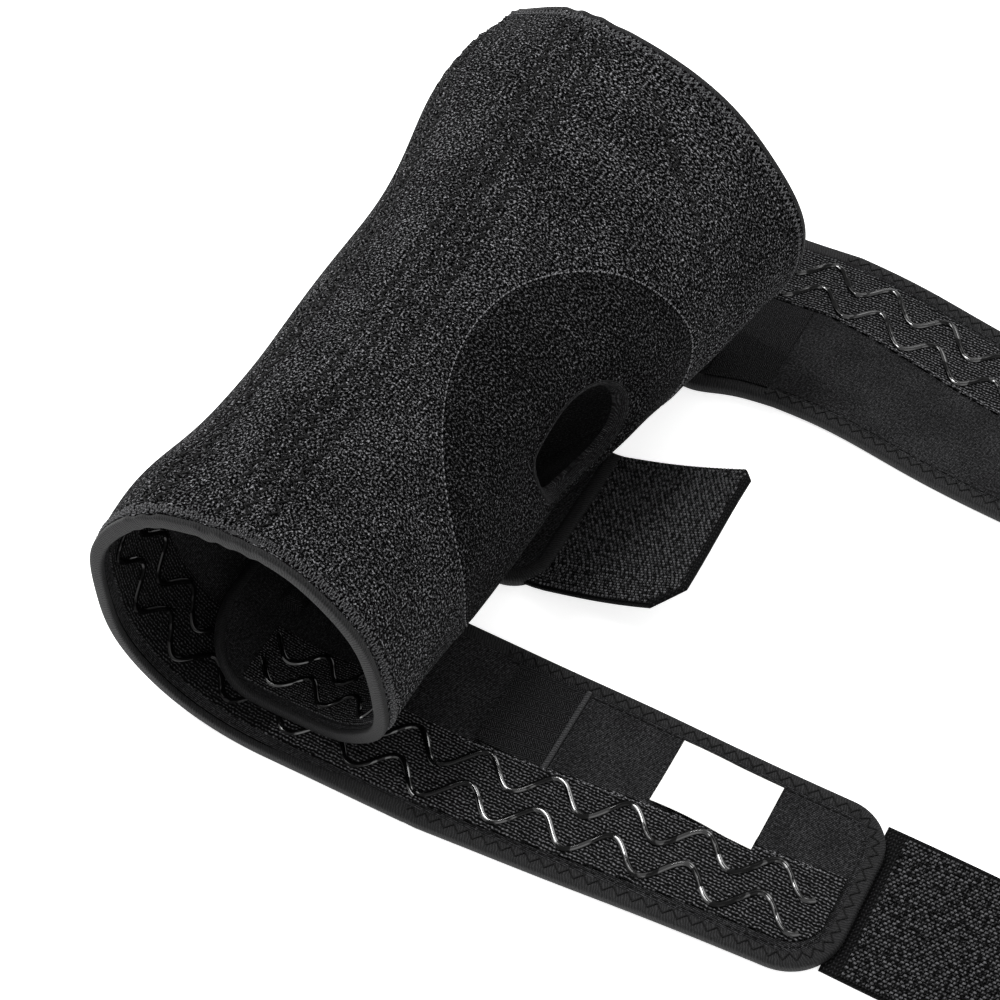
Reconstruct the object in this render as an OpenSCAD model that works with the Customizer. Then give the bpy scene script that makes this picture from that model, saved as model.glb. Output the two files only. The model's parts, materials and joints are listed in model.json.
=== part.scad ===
// Open-patella knee brace, rolled into its sleeve shape and lying on its back.
// X runs across the leg towards the wings, Y along the leg (calf end -Y, thigh end +Y), Z up.
// The origin is on the floor under the middle of the sleeve. All sizes are in millimetres.

/* [Sleeve] */
// Outer height of the sleeve at the calf end
calf_height = 109.5; // [104:0.5:116]
// Outer height of the sleeve at the knee
knee_height = 106.5; // [100:0.5:112]
// Outer height of the sleeve at the thigh end
thigh_height = 112.5; // [106:0.5:120]
// Reach of the sleeve to the left of its middle at the calf end
calf_left = 56; // [50:1:58]
// Reach to the left at the knee
knee_left = 57.5; // [52:0.5:60]
// Reach to the left at the thigh end
thigh_left = 66; // [58:1:68]
// Reach of the sleeve to the right of its middle at the calf end
calf_right = 47.5; // [44:0.5:50]
// Reach to the right at the knee
knee_right = 59; // [54:0.5:62]
// Reach to the right at the thigh end
thigh_right = 82; // [72:1:84]
// How square the rolled section is: 2 is an ellipse
roundness = 2.2; // [2:0.05:2.6]
// Angle past the bottom at which the inner lap ends
lap_angle = 44; // [20:1:50]

/* [Panel layers] */
// Outer loop-pile fabric
pile_t = 0.8; // [0.6:0.1:1]
// Neoprene foam core
foam_t = 2.6; // [2:0.1:3]
// Inner lining fabric
lining_t = 0.8; // [0.6:0.1:1]
// Air between the lap and the layer it lies on
lap_gap = 1.4; // [1.2:0.1:1.8]
// Width of the edge binding
binding_w = 4; // [3:0.5:5]
// How far the binding stands proud of the lining
binding_proud = 0.5; // [0.3:0.1:0.8]

/* [Panel outline] */
// Calf edge of the panel on the floor
calf_y = -148; // [-152:1:-145]
// Thigh edge of the panel on the floor
thigh_y = 152; // [148:1:156]
// How much shorter the front of the sleeve is at the thigh end
thigh_cut = 55; // [30:1:58]
// Left end of the flat part on the floor
flat_x = -4; // [-6:1:-2]
// Edge of the panel where the centre tab starts
tab_root_x = 46; // [44:1:48]
// Edge of the panel in the two cut-outs beside the tab
notch_x = 28; // [24:1:32]

/* [Wings] */
// Fold line of the calf wing
calf_fold_x = 56; // [54:1:60]
// Fold line of the thigh wing
thigh_fold_x = 84; // [82:1:88]
// Rounded tip of the calf wing
calf_tip_x = 193; // [190:1:196]
// Rounded tip of the thigh wing
thigh_tip_x = 216; // [214:1:220]
// Inner edge of the calf wing
calf_inner_y = -71; // [-74:1:-68]
// Outer edge of the calf wing at its tip
calf_outer_tip_y = -134; // [-138:1:-130]
// Inner edge of the thigh wing at its fold
thigh_inner_y = 68; // [64:1:72]
// Inner edge of the thigh wing at its tip
thigh_inner_tip_y = 58; // [54:1:64]
// Outer edge of the thigh wing at its tip
thigh_outer_tip_y = 132; // [128:1:140]

/* [Straps] */
// Width of a hook strap
strap_w = 56; // [50:1:58]
// Length of a hook strap beyond its wing
strap_l = 96; // [90:1:100]
// Thickness of the strap webbing
strap_t = 1.2; // [1:0.1:1.5]
// Thickness of the hook tape
hook_t = 1.2; // [1:0.1:1.5]

/* [Centre tab] */
// Width of the tab
tab_w = 69; // [60:1:70]
// Length of the tab
tab_l = 56; // [50:1:60]
// Middle of the tab along the leg
tab_y = -15; // [-17:1:-13]
// Angle at which the tab stands off the floor
tab_rise = 25; // [20:1:28]

/* [Knee opening] */
// Middle of the patella insert round the roll, in degrees from the bottom
insert_s = 265; // [262:1:270]
// Half width of the insert round the roll, in degrees
insert_rs = 70; // [66:1:74]
// Middle of the insert along the leg, as a share of the sleeve
insert_v = 0.46; // [0.44:0.01:0.48]
// Half length of the insert along the leg, as a share of the sleeve
insert_rv = 0.27; // [0.24:0.01:0.3]
// Middle of the patella hole round the roll, in degrees
hole_s = 254; // [250:1:260]
// Half width of the hole round the roll, in degrees
hole_rs = 16; // [12:1:18]
// Middle of the hole along the leg, as a share of the sleeve
hole_v = 0.465; // [0.45:0.005:0.48]
// Half length of the hole, as a share of the sleeve
hole_rv = 0.1; // [0.09:0.005:0.12]

/* [Stays and bands] */
// Width of a spring stay, in degrees round the roll
stay_s = 7; // [5:0.5:8]
// Thickness of a spring stay
stay_t = 2; // [1.6:0.1:2.2]
// Width of the elastic grip bands
grip_w = 29; // [26:1:32]
// Thickness of the grip bands and tapes
tape_t = 0.8; // [0.6:0.1:1]
// Width of the cross tapes
cross_w = 25; // [20:1:28]
// Height of the silicone beads on the grip bands
bead_t = 1.2; // [0.8:0.1:1.4]
// Width of a silicone bead
bead_w = 2; // [1.6:0.1:2.4]
// Length of one silicone wave
wave_l = 25; // [20:1:30]
// Half height of one silicone wave
wave_a = 5; // [4:0.5:6]

/* [Hidden] */

panel_t = pile_t + foam_t + lining_t;
foam_top = pile_t + foam_t;
lap_lift = panel_t + lap_gap;
panel_l = thigh_y - calf_y;
rim_v = binding_w / panel_l;
// Air between pieces on different bodies
body_gap = 0.4;
// Air between neighbouring pieces round the roll and along it
seam_s = 1.5;
seam_v = 0.006;
// Air between the layers and their binding along the leg
rim_air_v = 0.002;
// Air between the lining and what is sewn to it round the roll, and under the beads
back_air = 0.3;
front_air = 1;
bead_air = 0.4;

// The back panel ends half way up the left side, where the front panel hinges
hinge_s = 90;
front_s = 90.6;
lap_s = 360 + lap_angle;
lap_corner_s = 34;
lap_corner_v = 0.13;
lap_binding_s = 4.5;
calf_lean = 8;
lap_setback = 13;

// Stays and their pockets
stay_places = [151, 174.5, 356, 379];
stay_v0 = 0.15;
stay_v1 = 0.84;
pocket_s = 10;
pocket_wall_s = 1.1;
// Grip bands inside the sleeve
grip_v0 = 0.022;
grip_v = grip_w / panel_l;
bead_v = wave_a / panel_l;
// Outer edge of the wings at the fold line, and the corner radii at their tips
outer_drop = 1.5;
tip_r_outer = 20;
tip_r_inner = 16;
strap_root_l = 26;
strap_side = 11;
strap_root_inset = 1.2;
label_l = 35;
label_w = 25;

function lerp(a, b, t) = a + (b - a) * t;
function span(a, b, n) = [for (i = [0 : n]) lerp(a, b, i / n)];
function smooth(t) = let (c = min(1, max(0, t))) c * c * (3 - 2 * c);
// Value through three stations along the leg: calf end, knee, thigh end
function along(v, a, b, c) = 2 * (v - 0.5) * (v - 1) * a + 4 * v * (1 - v) * b + 2 * v * (v - 0.5) * c;
function spow(t) = sign(t) * pow(abs(t), 2 / roundness);

// Edges of the panel along the leg, at s degrees clockwise round the roll from its bottom
function calf_edge(s) = calf_y + calf_lean * smooth((s - 60) / 120)
    + (lap_setback - calf_lean) * smooth((s - 270) / 90);
function thigh_edge(s) = thigh_y - thigh_cut * smooth((s - 40) / 214);
// A point of the roll, s degrees round it, at a share v of its length, h in from its outside
function roll(s, v, h) = let (
        height = along(v, calf_height, knee_height, thigh_height),
        left = along(v, calf_left, knee_left, thigh_left),
        right = along(v, calf_right, knee_right, thigh_right),
        mid = height / 2,
        a = (s < 180 ? left : s < 360 ? right : left - lap_lift) - h,
        b = (s < 90 ? mid : s < 270 ? height - mid : mid - lap_lift) - h
    ) [flat_x - a * spow(sin(s)), lerp(calf_edge(s), thigh_edge(s), v), mid - b * spow(cos(s))];

// n places on the way from a to b, without a itself
function after(a, b, n) = [for (i = [1 : n]) lerp(a, b, i / n)];
// Points at the given angles on an ellipse on the panel
function oval(angles, mid_s, rs, mid_v, rv) = [for (a = angles) [mid_s + rs * cos(a), mid_v + rv * sin(a)]];
// Rows of points on the way from one closed outline to another inside it
function between(outer, inner, n) = [for (t = span(0, 1, n))
    [for (i = [0 : len(outer) - 1]) lerp(outer[i], inner[i], t)]];
// Shares of the length between v0 and v1, closer together near the ends of an ellipse
function arc_span(mid_v, rv, v0, v1, n) = let (
        a0 = asin(min(1, max(-1, (v0 - mid_v) / rv))),
        a1 = asin(min(1, max(-1, (v1 - mid_v) / rv)))
    ) [for (a = span(a0, a1, n)) mid_v + rv * sin(a)];
// Where the lap ends: its two corners are rounded
function lap_end(v) = let (d = max(0, 1 - min(v, 1 - v) / lap_corner_v))
    lap_s - lap_corner_s * (1 - sqrt(1 - d * d));
function calf_corner(v0, v1, n) = arc_span(lap_corner_v, lap_corner_v, v0, v1, n);
function thigh_corner(v0, v1, n) = arc_span(1 - lap_corner_v, lap_corner_v, v0, v1, n);
// A row of places round the roll at one share of the length
function ring_row(v, s0, s1, n) = [for (s = span(s0, s1, n)) [s, v]];

// A closed solid over a grid of [s, v] places, between two depths
// A looped grid has rows that close on themselves, the outermost row first
module cloth(grid, h0, h1, looped = false) {
    n = len(grid);
    w = len(grid[0]);
    last = looped ? w - 1 : w - 2;
    function at(k, j, i) = (k * n + j) * w + i % w;
    function quad(a, b, c, d) = [[a, c, b], [a, d, c]];
    points = [for (h = [h0, h1]) for (row = grid) for (p = row) roll(p[0], p[1], h)];
    polyhedron(points, concat(
        [for (j = [0 : n - 2]) for (i = [0 : last])
            each quad(at(0, j, i), at(0, j, i + 1), at(0, j + 1, i + 1), at(0, j + 1, i))],
        [for (j = [0 : n - 2]) for (i = [0 : last])
            each quad(at(1, j, i), at(1, j + 1, i), at(1, j + 1, i + 1), at(1, j, i + 1))],
        [for (i = [0 : last]) each quad(at(0, 0, i), at(1, 0, i), at(1, 0, i + 1), at(0, 0, i + 1))],
        [for (i = [0 : last])
            each quad(at(0, n - 1, i), at(0, n - 1, i + 1), at(1, n - 1, i + 1), at(1, n - 1, i))],
        looped ? [] : [for (j = [0 : n - 2])
            each quad(at(0, j, 0), at(0, j + 1, 0), at(1, j + 1, 0), at(1, j, 0))],
        looped ? [] : [for (j = [0 : n - 2])
            each quad(at(0, j, w - 1), at(1, j, w - 1), at(1, j + 1, w - 1), at(0, j + 1, w - 1))]
    ));
}

// A flat layer of cloth on the floor side of the panel
module flat(outline, z0, z1) {
    translate([0, 0, z0]) linear_extrude(z1 - z0) polygon(outline);
}

// ---- Back panel: lies on the floor, curls up the left side ----

// Outline of the flat part, k in from its free edges
function back_outline(k) = [
    [flat_x, calf_y + k],
    [calf_fold_x, calf_y + outer_drop + k],
    [calf_fold_x, calf_inner_y - k],
    [notch_x - k, calf_inner_y - k],
    [notch_x - k, tab_y - tab_w / 2 + k],
    [tab_root_x - k, tab_y - tab_w / 2 + k],
    [tab_root_x - k, tab_y + tab_w / 2 - k],
    [notch_x - k, tab_y + tab_w / 2 - k],
    [notch_x - k, thigh_inner_y + k],
    [thigh_fold_x, thigh_inner_y + k],
    [thigh_fold_x, thigh_y - k],
    [flat_x, thigh_y - k]
];
module back_layer(h0, h1) {
    flat(back_outline(binding_w), h0, h1);
    cloth([for (v = span(rim_v, 1 - rim_v, 12)) ring_row(v, 0, hinge_s, 10)], h0, h1);
}
module back_edge(v0, v1) {
    cloth([for (v = [v0, v1]) ring_row(v, 0, hinge_s, 10)], 0, panel_t + binding_proud);
}
// The part of the edge of the flat panel that lies between two places along the leg
module flat_edge(y0, y1) {
    intersection() {
        difference() {
            flat(back_outline(0), 0, panel_t + binding_proud);
            flat(back_outline(binding_w), -1, panel_t + 1);
        }
        translate([flat_x, y0, -2]) cube([thigh_fold_x - flat_x, y1 - y0, panel_t + 4]);
    }
}
module back_pile() color([0.16, 0.16, 0.17]) back_layer(0, pile_t);
module back_foam() color([0.3, 0.3, 0.32]) back_layer(pile_t, foam_top);
module back_lining() color([0.2, 0.2, 0.22]) back_layer(foam_top, panel_t);
module back_binding_calf() color([0.1, 0.1, 0.11]) {
    back_edge(0, rim_v);
    flat_edge(calf_y, calf_y + outer_drop + binding_w);
}
module back_binding_thigh() color([0.1, 0.1, 0.11]) {
    back_edge(1 - rim_v, 1);
    flat_edge(thigh_y - binding_w, thigh_y);
}
module notch_binding() color([0.1, 0.1, 0.11]) flat_edge(calf_inner_y - binding_w, thigh_inner_y + binding_w);

// Elastic bands along both edges, seen inside the mouth and running out under the sleeve
module back_grip(side, outer_y) color([0.14, 0.14, 0.15]) {
    edge = binding_w + 2;
    near = outer_y + side * edge;
    far = near + side * grip_w;
    low = min(near, far);
    fold_x = side > 0 ? calf_fold_x : thigh_fold_x;
    translate([flat_x, low, panel_t]) cube([fold_x - flat_x, grip_w, tape_t]);
    v = (low - calf_y) / panel_l;
    h = panel_t + back_air;
    cloth([for (u = [v, v + grip_v]) ring_row(u, 0, hinge_s, 10)], h, h + tape_t);
}
module back_grip_calf() back_grip(1, calf_y);
module back_grip_thigh() back_grip(-1, thigh_y);

// Wavy silicone bead along X on the flat cloth, from x0 to x1, about a sloping line
module flat_bead(x0, x1, y0, y1) {
    n = round((x1 - x0) / wave_l * 10);
    function mid(t) = [lerp(x0, x1, t), lerp(y0, y1, t) + wave_a * sin(360 * t * (x1 - x0) / wave_l)];
    translate([0, 0, panel_t + tape_t]) linear_extrude(bead_t) polygon(concat(
        [for (t = span(0, 1, n)) mid(t) - [0, bead_w / 2]],
        [for (t = span(1, 0, n)) mid(t) + [0, bead_w / 2]]
    ));
}
// Wavy silicone bead round the roll, from s0 to s1 at a share v of the length, h deep
module roll_bead(s0, s1, v, degrees_per_wave, h) {
    n = round((s1 - s0) / degrees_per_wave * 6);
    function wave(s) = v + bead_v * sin(360 * (s - s0) / degrees_per_wave);
    half = bead_w / 2 / panel_l;
    cloth([for (d = [-half, half]) [for (s = span(s0, s1, n)) [s, wave(s) + d]]], h, h + bead_t);
}
bead_gap = 13;
bead_rows = [10.5, 10.5 + bead_gap];
module back_beads() color([0.75, 0.75, 0.78]) {
    for (y = bead_rows) {
        flat_bead(30, calf_fold_x - 3, calf_y + binding_w + y, calf_y + binding_w + y);
        for (v = [(binding_w + y) / panel_l, 1 - (binding_w + y) / panel_l])
            roll_bead(48, 84, v, 21, panel_t + back_air + tape_t + bead_air);
    }
}
module thigh_cross_tape() color([0.22, 0.22, 0.24])
    translate([thigh_fold_x - cross_w - 3, thigh_inner_y + binding_w + 1, panel_t])
        cube([cross_w, thigh_y - thigh_inner_y - 2 * binding_w - grip_w - 4, tape_t]);

// ---- Front panel: over the top, down the right side and under, ending in the lap ----

// Outline of the front panel inside its bindings: calf edge, lap, thigh edge, hinge
lap_inset = lap_binding_s + seam_s;
layer_v = rim_v + rim_air_v;
lap_rows = concat(calf_corner(layer_v, lap_corner_v, 4), span(0.25, 0.75, 4),
    thigh_corner(1 - lap_corner_v, 1 - layer_v, 4));
rim_end_s = lap_end(layer_v) - lap_inset;
front_outline = concat(
    [for (s = after(front_s, rim_end_s, 24)) [s, layer_v]],
    [for (i = [1 : len(lap_rows) - 1]) [lap_end(lap_rows[i]) - lap_inset, lap_rows[i]]],
    [for (s = after(rim_end_s, front_s, 24)) [s, 1 - layer_v]],
    [for (v = after(1 - layer_v, layer_v, 8)) [front_s, v]]
);
// One layer of the front panel, open where the insert goes
module front_layer(h0, h1) {
    angles = [for (p = front_outline) atan2((p[1] - insert_v) / insert_rv, (p[0] - insert_s) / insert_rs)];
    cloth(between(front_outline, oval(angles, insert_s, insert_rs, insert_v, insert_rv), 9), h0, h1, true);
}
module front_pile() color([0.16, 0.16, 0.17]) front_layer(0, pile_t);
module front_foam() color([0.3, 0.3, 0.32]) front_layer(pile_t, foam_top);
module front_lining() color([0.2, 0.2, 0.22]) front_layer(foam_top, panel_t);
module front_binding_calf() color([0.1, 0.1, 0.11])
    cloth([for (v = [0, rim_v]) ring_row(v, front_s, lap_end(0) - lap_binding_s - 0.5, 34)],
        0, panel_t + binding_proud);
module front_binding_thigh() color([0.1, 0.1, 0.11])
    cloth([for (v = [1 - rim_v, 1]) ring_row(v, front_s, lap_end(1) - lap_binding_s - 0.5, 34)],
        0, panel_t + binding_proud);
module lap_binding() color([0.1, 0.1, 0.11])
    cloth([for (v = concat(calf_corner(0, lap_corner_v, 6), span(0.3, 0.7, 2),
            thigh_corner(1 - lap_corner_v, 1, 6)))
        ring_row(v, lap_end(v) - lap_binding_s, lap_end(v), 2)], 0, panel_t + binding_proud);

// The insert over the kneecap: a smoother fabric, with the patella hole through it
module insert_layer(h0, h1) {
    angles = after(0, 360, 40);
    cloth(between(oval(angles, insert_s, insert_rs - seam_s, insert_v, insert_rv - seam_v),
        oval(angles, hole_s, hole_rs, hole_v, hole_rv), 6), h0, h1, true);
}
// A ring round the patella hole, between two multiples of the hole's size
module hole_ring(r0, r1, h0, h1) {
    angles = after(0, 360, 28);
    cloth(between(oval(angles, hole_s, hole_rs * r1, hole_v, hole_rv * r1),
        oval(angles, hole_s, hole_rs * r0, hole_v, hole_rv * r0), 2), h0, h1, true);
}
module patella_insert() color([0.18, 0.18, 0.2]) insert_layer(0, foam_top);
module insert_lining() color([0.22, 0.22, 0.24]) insert_layer(foam_top, panel_t);
module patella_ring() color([0.4, 0.4, 0.43]) hole_ring(1.1, 1.6, ring_h, ring_h + 2.5);
ring_h = panel_t + front_air;
module hole_edging() color([0.1, 0.1, 0.11]) hole_ring(0.88, 0.985, 0, panel_t);

// Flat spring stays in pockets on the inside, two on each side of the insert
stay_h = panel_t + front_air + 0.3;
module stay(place) color([0.7, 0.71, 0.73])
    cloth([for (v = span(stay_v0 + 0.01, stay_v1 - 0.01, 12))
        ring_row(v, place - stay_s / 2, place + stay_s / 2, 2)], stay_h, stay_h + stay_t);
module stay_1() stay(stay_places[0]);
module stay_2() stay(stay_places[1]);
module stay_3() stay(stay_places[2]);
module stay_4() stay(stay_places[3]);
module stay_pockets() color([0.2, 0.2, 0.22])
    for (place = stay_places) {
        rows = span(stay_v0, stay_v1, 8);
        roof = stay_h + stay_t + 0.8;
        wide = pocket_s / 2;
        narrow = wide - pocket_wall_s;
        cloth([for (v = rows) ring_row(v, place - wide, place - narrow, 1)], panel_t + front_air, roof);
        cloth([for (v = rows) ring_row(v, place + narrow, place + wide, 1)], panel_t + front_air, roof);
        cloth([for (v = rows) ring_row(v, place - wide, place + wide, 3)], roof, roof + pile_t);
    }

front_grip_h = panel_t + front_air;
module front_grip(v) color([0.14, 0.14, 0.15])
    cloth([for (u = [v, v + grip_v]) ring_row(u, front_s + 4, 366, 34)], front_grip_h, front_grip_h + tape_t);
module front_grip_calf() front_grip(grip_v0);
module front_grip_thigh() front_grip(1 - grip_v0 - grip_v);
module front_beads() color([0.75, 0.75, 0.78])
    for (y = bead_rows) for (v = [(binding_w + y) / panel_l, 1 - (binding_w + y) / panel_l])
        roll_bead(100, 360, v, 26, front_grip_h + tape_t + bead_air);

// ---- Wings: long ends that reach right round the leg ----

// Outline of a wing, k in from its free edges; outer edge first, then round the tip
function wing_outline(fold_x, tip_x, inner, inner_tip, outer, outer_tip, k) = let (
        d = sign(outer - inner),
        ro = tip_r_outer,
        ri = tip_r_inner
    ) concat(
        [[fold_x + body_gap, outer - d * k]],
        [for (a = span(90, 0, 8)) [tip_x - ro, outer_tip - d * ro] + (ro - k) * [cos(a), d * sin(a)]],
        [for (a = span(0, -90, 8)) [tip_x - ri, inner_tip + d * ri] + (ri - k) * [cos(a), d * sin(a)]],
        [[fold_x + body_gap, inner + d * k]]
    );
function calf_wing(k) = wing_outline(calf_fold_x, calf_tip_x, calf_inner_y, calf_inner_y,
    calf_y + outer_drop, calf_outer_tip_y, k);
function thigh_wing(k) = wing_outline(thigh_fold_x, thigh_tip_x, thigh_inner_y, thigh_inner_tip_y,
    thigh_y, thigh_outer_tip_y, k);
calf_strap_y = (calf_inner_y + calf_outer_tip_y) / 2 + 2;
thigh_strap_y = (thigh_inner_tip_y + thigh_outer_tip_y) / 2;

// Where the strap is sewn under the tip of a wing, in place of the pile
module strap_root(tip_x, strap_y, room) {
    l = strap_root_l + 2 * room;
    w = strap_w - 2 * strap_side + 2 * room;
    translate([tip_x - binding_w - strap_root_inset + room - l, strap_y - w / 2, -room])
        cube([l, w, pile_t + 2 * room]);
}
module wing_binding(wing_0, wing_k) color([0.1, 0.1, 0.11])
    difference() {
        flat(wing_0, 0, panel_t + binding_proud);
        flat(wing_k, -1, panel_t + 1);
    }
module calf_wing_pile() color([0.16, 0.16, 0.17])
    difference() {
        flat(calf_wing(binding_w), 0, pile_t);
        strap_root(calf_tip_x, calf_strap_y, 0.4);
    }
module calf_wing_foam() color([0.3, 0.3, 0.32]) flat(calf_wing(binding_w), pile_t, foam_top);
module calf_wing_lining() color([0.2, 0.2, 0.22]) flat(calf_wing(binding_w), foam_top, panel_t);
module calf_wing_binding() wing_binding(calf_wing(0), calf_wing(binding_w));
module calf_strap_root() color([0.12, 0.12, 0.13]) strap_root(calf_tip_x, calf_strap_y, 0);
module thigh_wing_pile() color([0.16, 0.16, 0.17])
    difference() {
        flat(thigh_wing(binding_w), 0, pile_t);
        strap_root(thigh_tip_x, thigh_strap_y, 0.4);
    }
module thigh_wing_foam() color([0.3, 0.3, 0.32]) flat(thigh_wing(binding_w), pile_t, foam_top);
module thigh_wing_lining() color([0.2, 0.2, 0.22]) flat(thigh_wing(binding_w), foam_top, panel_t);
module thigh_wing_binding() wing_binding(thigh_wing(0), thigh_wing(binding_w));
module thigh_strap_root() color([0.12, 0.12, 0.13]) strap_root(thigh_tip_x, thigh_strap_y, 0);

// A band that follows the outer edge of a wing, and the beads along its middle
function band_outline(fold_x, tip_x, outer, outer_tip, d) = let (
        x0 = fold_x + 2,
        x1 = tip_x - binding_w - 3,
        slope = (outer_tip - outer) / (tip_x - tip_r_outer - fold_x),
        k = binding_w + 2
    ) [
        [x0, outer - d * k],
        [tip_x - tip_r_outer, outer_tip - d * k],
        [x1, outer_tip - d * (tip_r_outer - 2)],
        [x1, outer + slope * (x1 - fold_x) - d * (k + grip_w)],
        [x0, outer - d * (k + grip_w)]
    ];
module calf_grip_band() color([0.14, 0.14, 0.15])
    flat(band_outline(calf_fold_x, calf_tip_x, calf_y + outer_drop, calf_outer_tip_y, -1),
        panel_t, panel_t + tape_t);
module thigh_grip_band() color([0.14, 0.14, 0.15])
    flat(band_outline(thigh_fold_x, thigh_tip_x, thigh_y, thigh_outer_tip_y, 1),
        panel_t, panel_t + tape_t);
module calf_beads() color([0.75, 0.75, 0.78])
    for (y = bead_rows)
        flat_bead(calf_fold_x + 4, calf_tip_x - 13, calf_y + outer_drop + binding_w + y,
            calf_outer_tip_y + binding_w + y);
module thigh_beads() color([0.75, 0.75, 0.78])
    for (y = bead_rows)
        flat_bead(thigh_fold_x + 4, thigh_tip_x - 13, thigh_y - binding_w - y,
            thigh_outer_tip_y - binding_w - y);
module calf_cross_tape() color([0.22, 0.22, 0.24])
    translate([calf_fold_x + 2, calf_inner_y - binding_w - 1 - 28, panel_t]) cube([cross_w, 28, tape_t]);
module care_label() color([0.95, 0.95, 0.93])
    translate([calf_tip_x - 40 - label_l, calf_inner_y - binding_w - 0.9 - label_w, panel_t])
        cube([label_l, label_w, 0.3]);

// ---- Straps beyond the wing tips ----

strap_corner = 8;
// Outline of a strap from its root at x 0, with its two end corners rounded
function strap_outline(l, w, r) = concat(
    [[0, -w / 2]],
    [for (a = span(-90, 0, 6)) [l - r + r * cos(a), -w / 2 + r + r * sin(a)]],
    [for (a = span(0, 90, 6)) [l - r + r * cos(a), w / 2 - r + r * sin(a)]],
    [[0, w / 2]]
);
module strap(tip_x, strap_y) color([0.12, 0.12, 0.13])
    translate([tip_x + body_gap, strap_y, 0]) linear_extrude(strap_t)
        polygon(strap_outline(strap_l, strap_w, strap_corner));
module hook(tip_x, strap_y) color([0.08, 0.08, 0.09])
    translate([tip_x + body_gap + 3, strap_y, strap_t]) linear_extrude(hook_t)
        polygon(strap_outline(strap_l - 5, strap_w - 4, strap_corner - 2));
module calf_strap() strap(calf_tip_x, calf_strap_y);
module calf_hook() hook(calf_tip_x, calf_strap_y);
module thigh_strap() strap(thigh_tip_x, thigh_strap_y);
module thigh_hook() hook(thigh_tip_x, thigh_strap_y);

// ---- Centre tab: hook tape that stands off the floor beside the sleeve ----

tab_root_z = panel_t + binding_proud + 0.2;
// Outline of the tab with clipped corners, k in from its edges
function tab_outline(k) = [
    [k, -tab_w / 2 + k],
    [tab_l - 10, -tab_w / 2 + k],
    [tab_l - k, -tab_w / 2 + 10],
    [tab_l - k, tab_w / 2 - 5],
    [tab_l - 4, tab_w / 2 - k],
    [k, tab_w / 2 - k]
];
module tab_sheet(k, z0, z1)
    translate([tab_root_x + body_gap, tab_y, tab_root_z]) rotate([0, -tab_rise, 0])
        translate([0, 0, z0]) linear_extrude(z1 - z0) polygon(tab_outline(k));
module tab_webbing() color([0.12, 0.12, 0.13]) tab_sheet(0, -strap_t - hook_t, -hook_t);
module tab_hook() color([0.08, 0.08, 0.09]) tab_sheet(1.5, -hook_t, 0);

back_pile();
back_foam();
back_lining();
back_binding_calf();
back_binding_thigh();
notch_binding();
back_grip_calf();
back_grip_thigh();
back_beads();
thigh_cross_tape();
front_pile();
front_foam();
front_lining();
front_binding_calf();
front_binding_thigh();
lap_binding();
patella_insert();
insert_lining();
patella_ring();
hole_edging();
stay_1();
stay_2();
stay_3();
stay_4();
stay_pockets();
front_grip_calf();
front_grip_thigh();
front_beads();
calf_wing_pile();
calf_wing_foam();
calf_wing_lining();
calf_wing_binding();
calf_grip_band();
calf_beads();
calf_cross_tape();
care_label();
calf_strap_root();
calf_strap();
calf_hook();
thigh_wing_pile();
thigh_wing_foam();
thigh_wing_lining();
thigh_wing_binding();
thigh_grip_band();
thigh_beads();
thigh_strap_root();
thigh_strap();
thigh_hook();
tab_webbing();
tab_hook();
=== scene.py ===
"""Looks of an open-patella knee brace: soft cloth, bindings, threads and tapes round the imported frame.

Lengths are millimetres until a mesh is made. A place on the cloth is (q, v, h): q below 0 is how far out
on the floor it lies, q above 0 is degrees round the roll from its bottom; v is its share of the length,
calf edge 0 and thigh edge 1; h is its depth in from the outside of the panel.
"""

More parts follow.
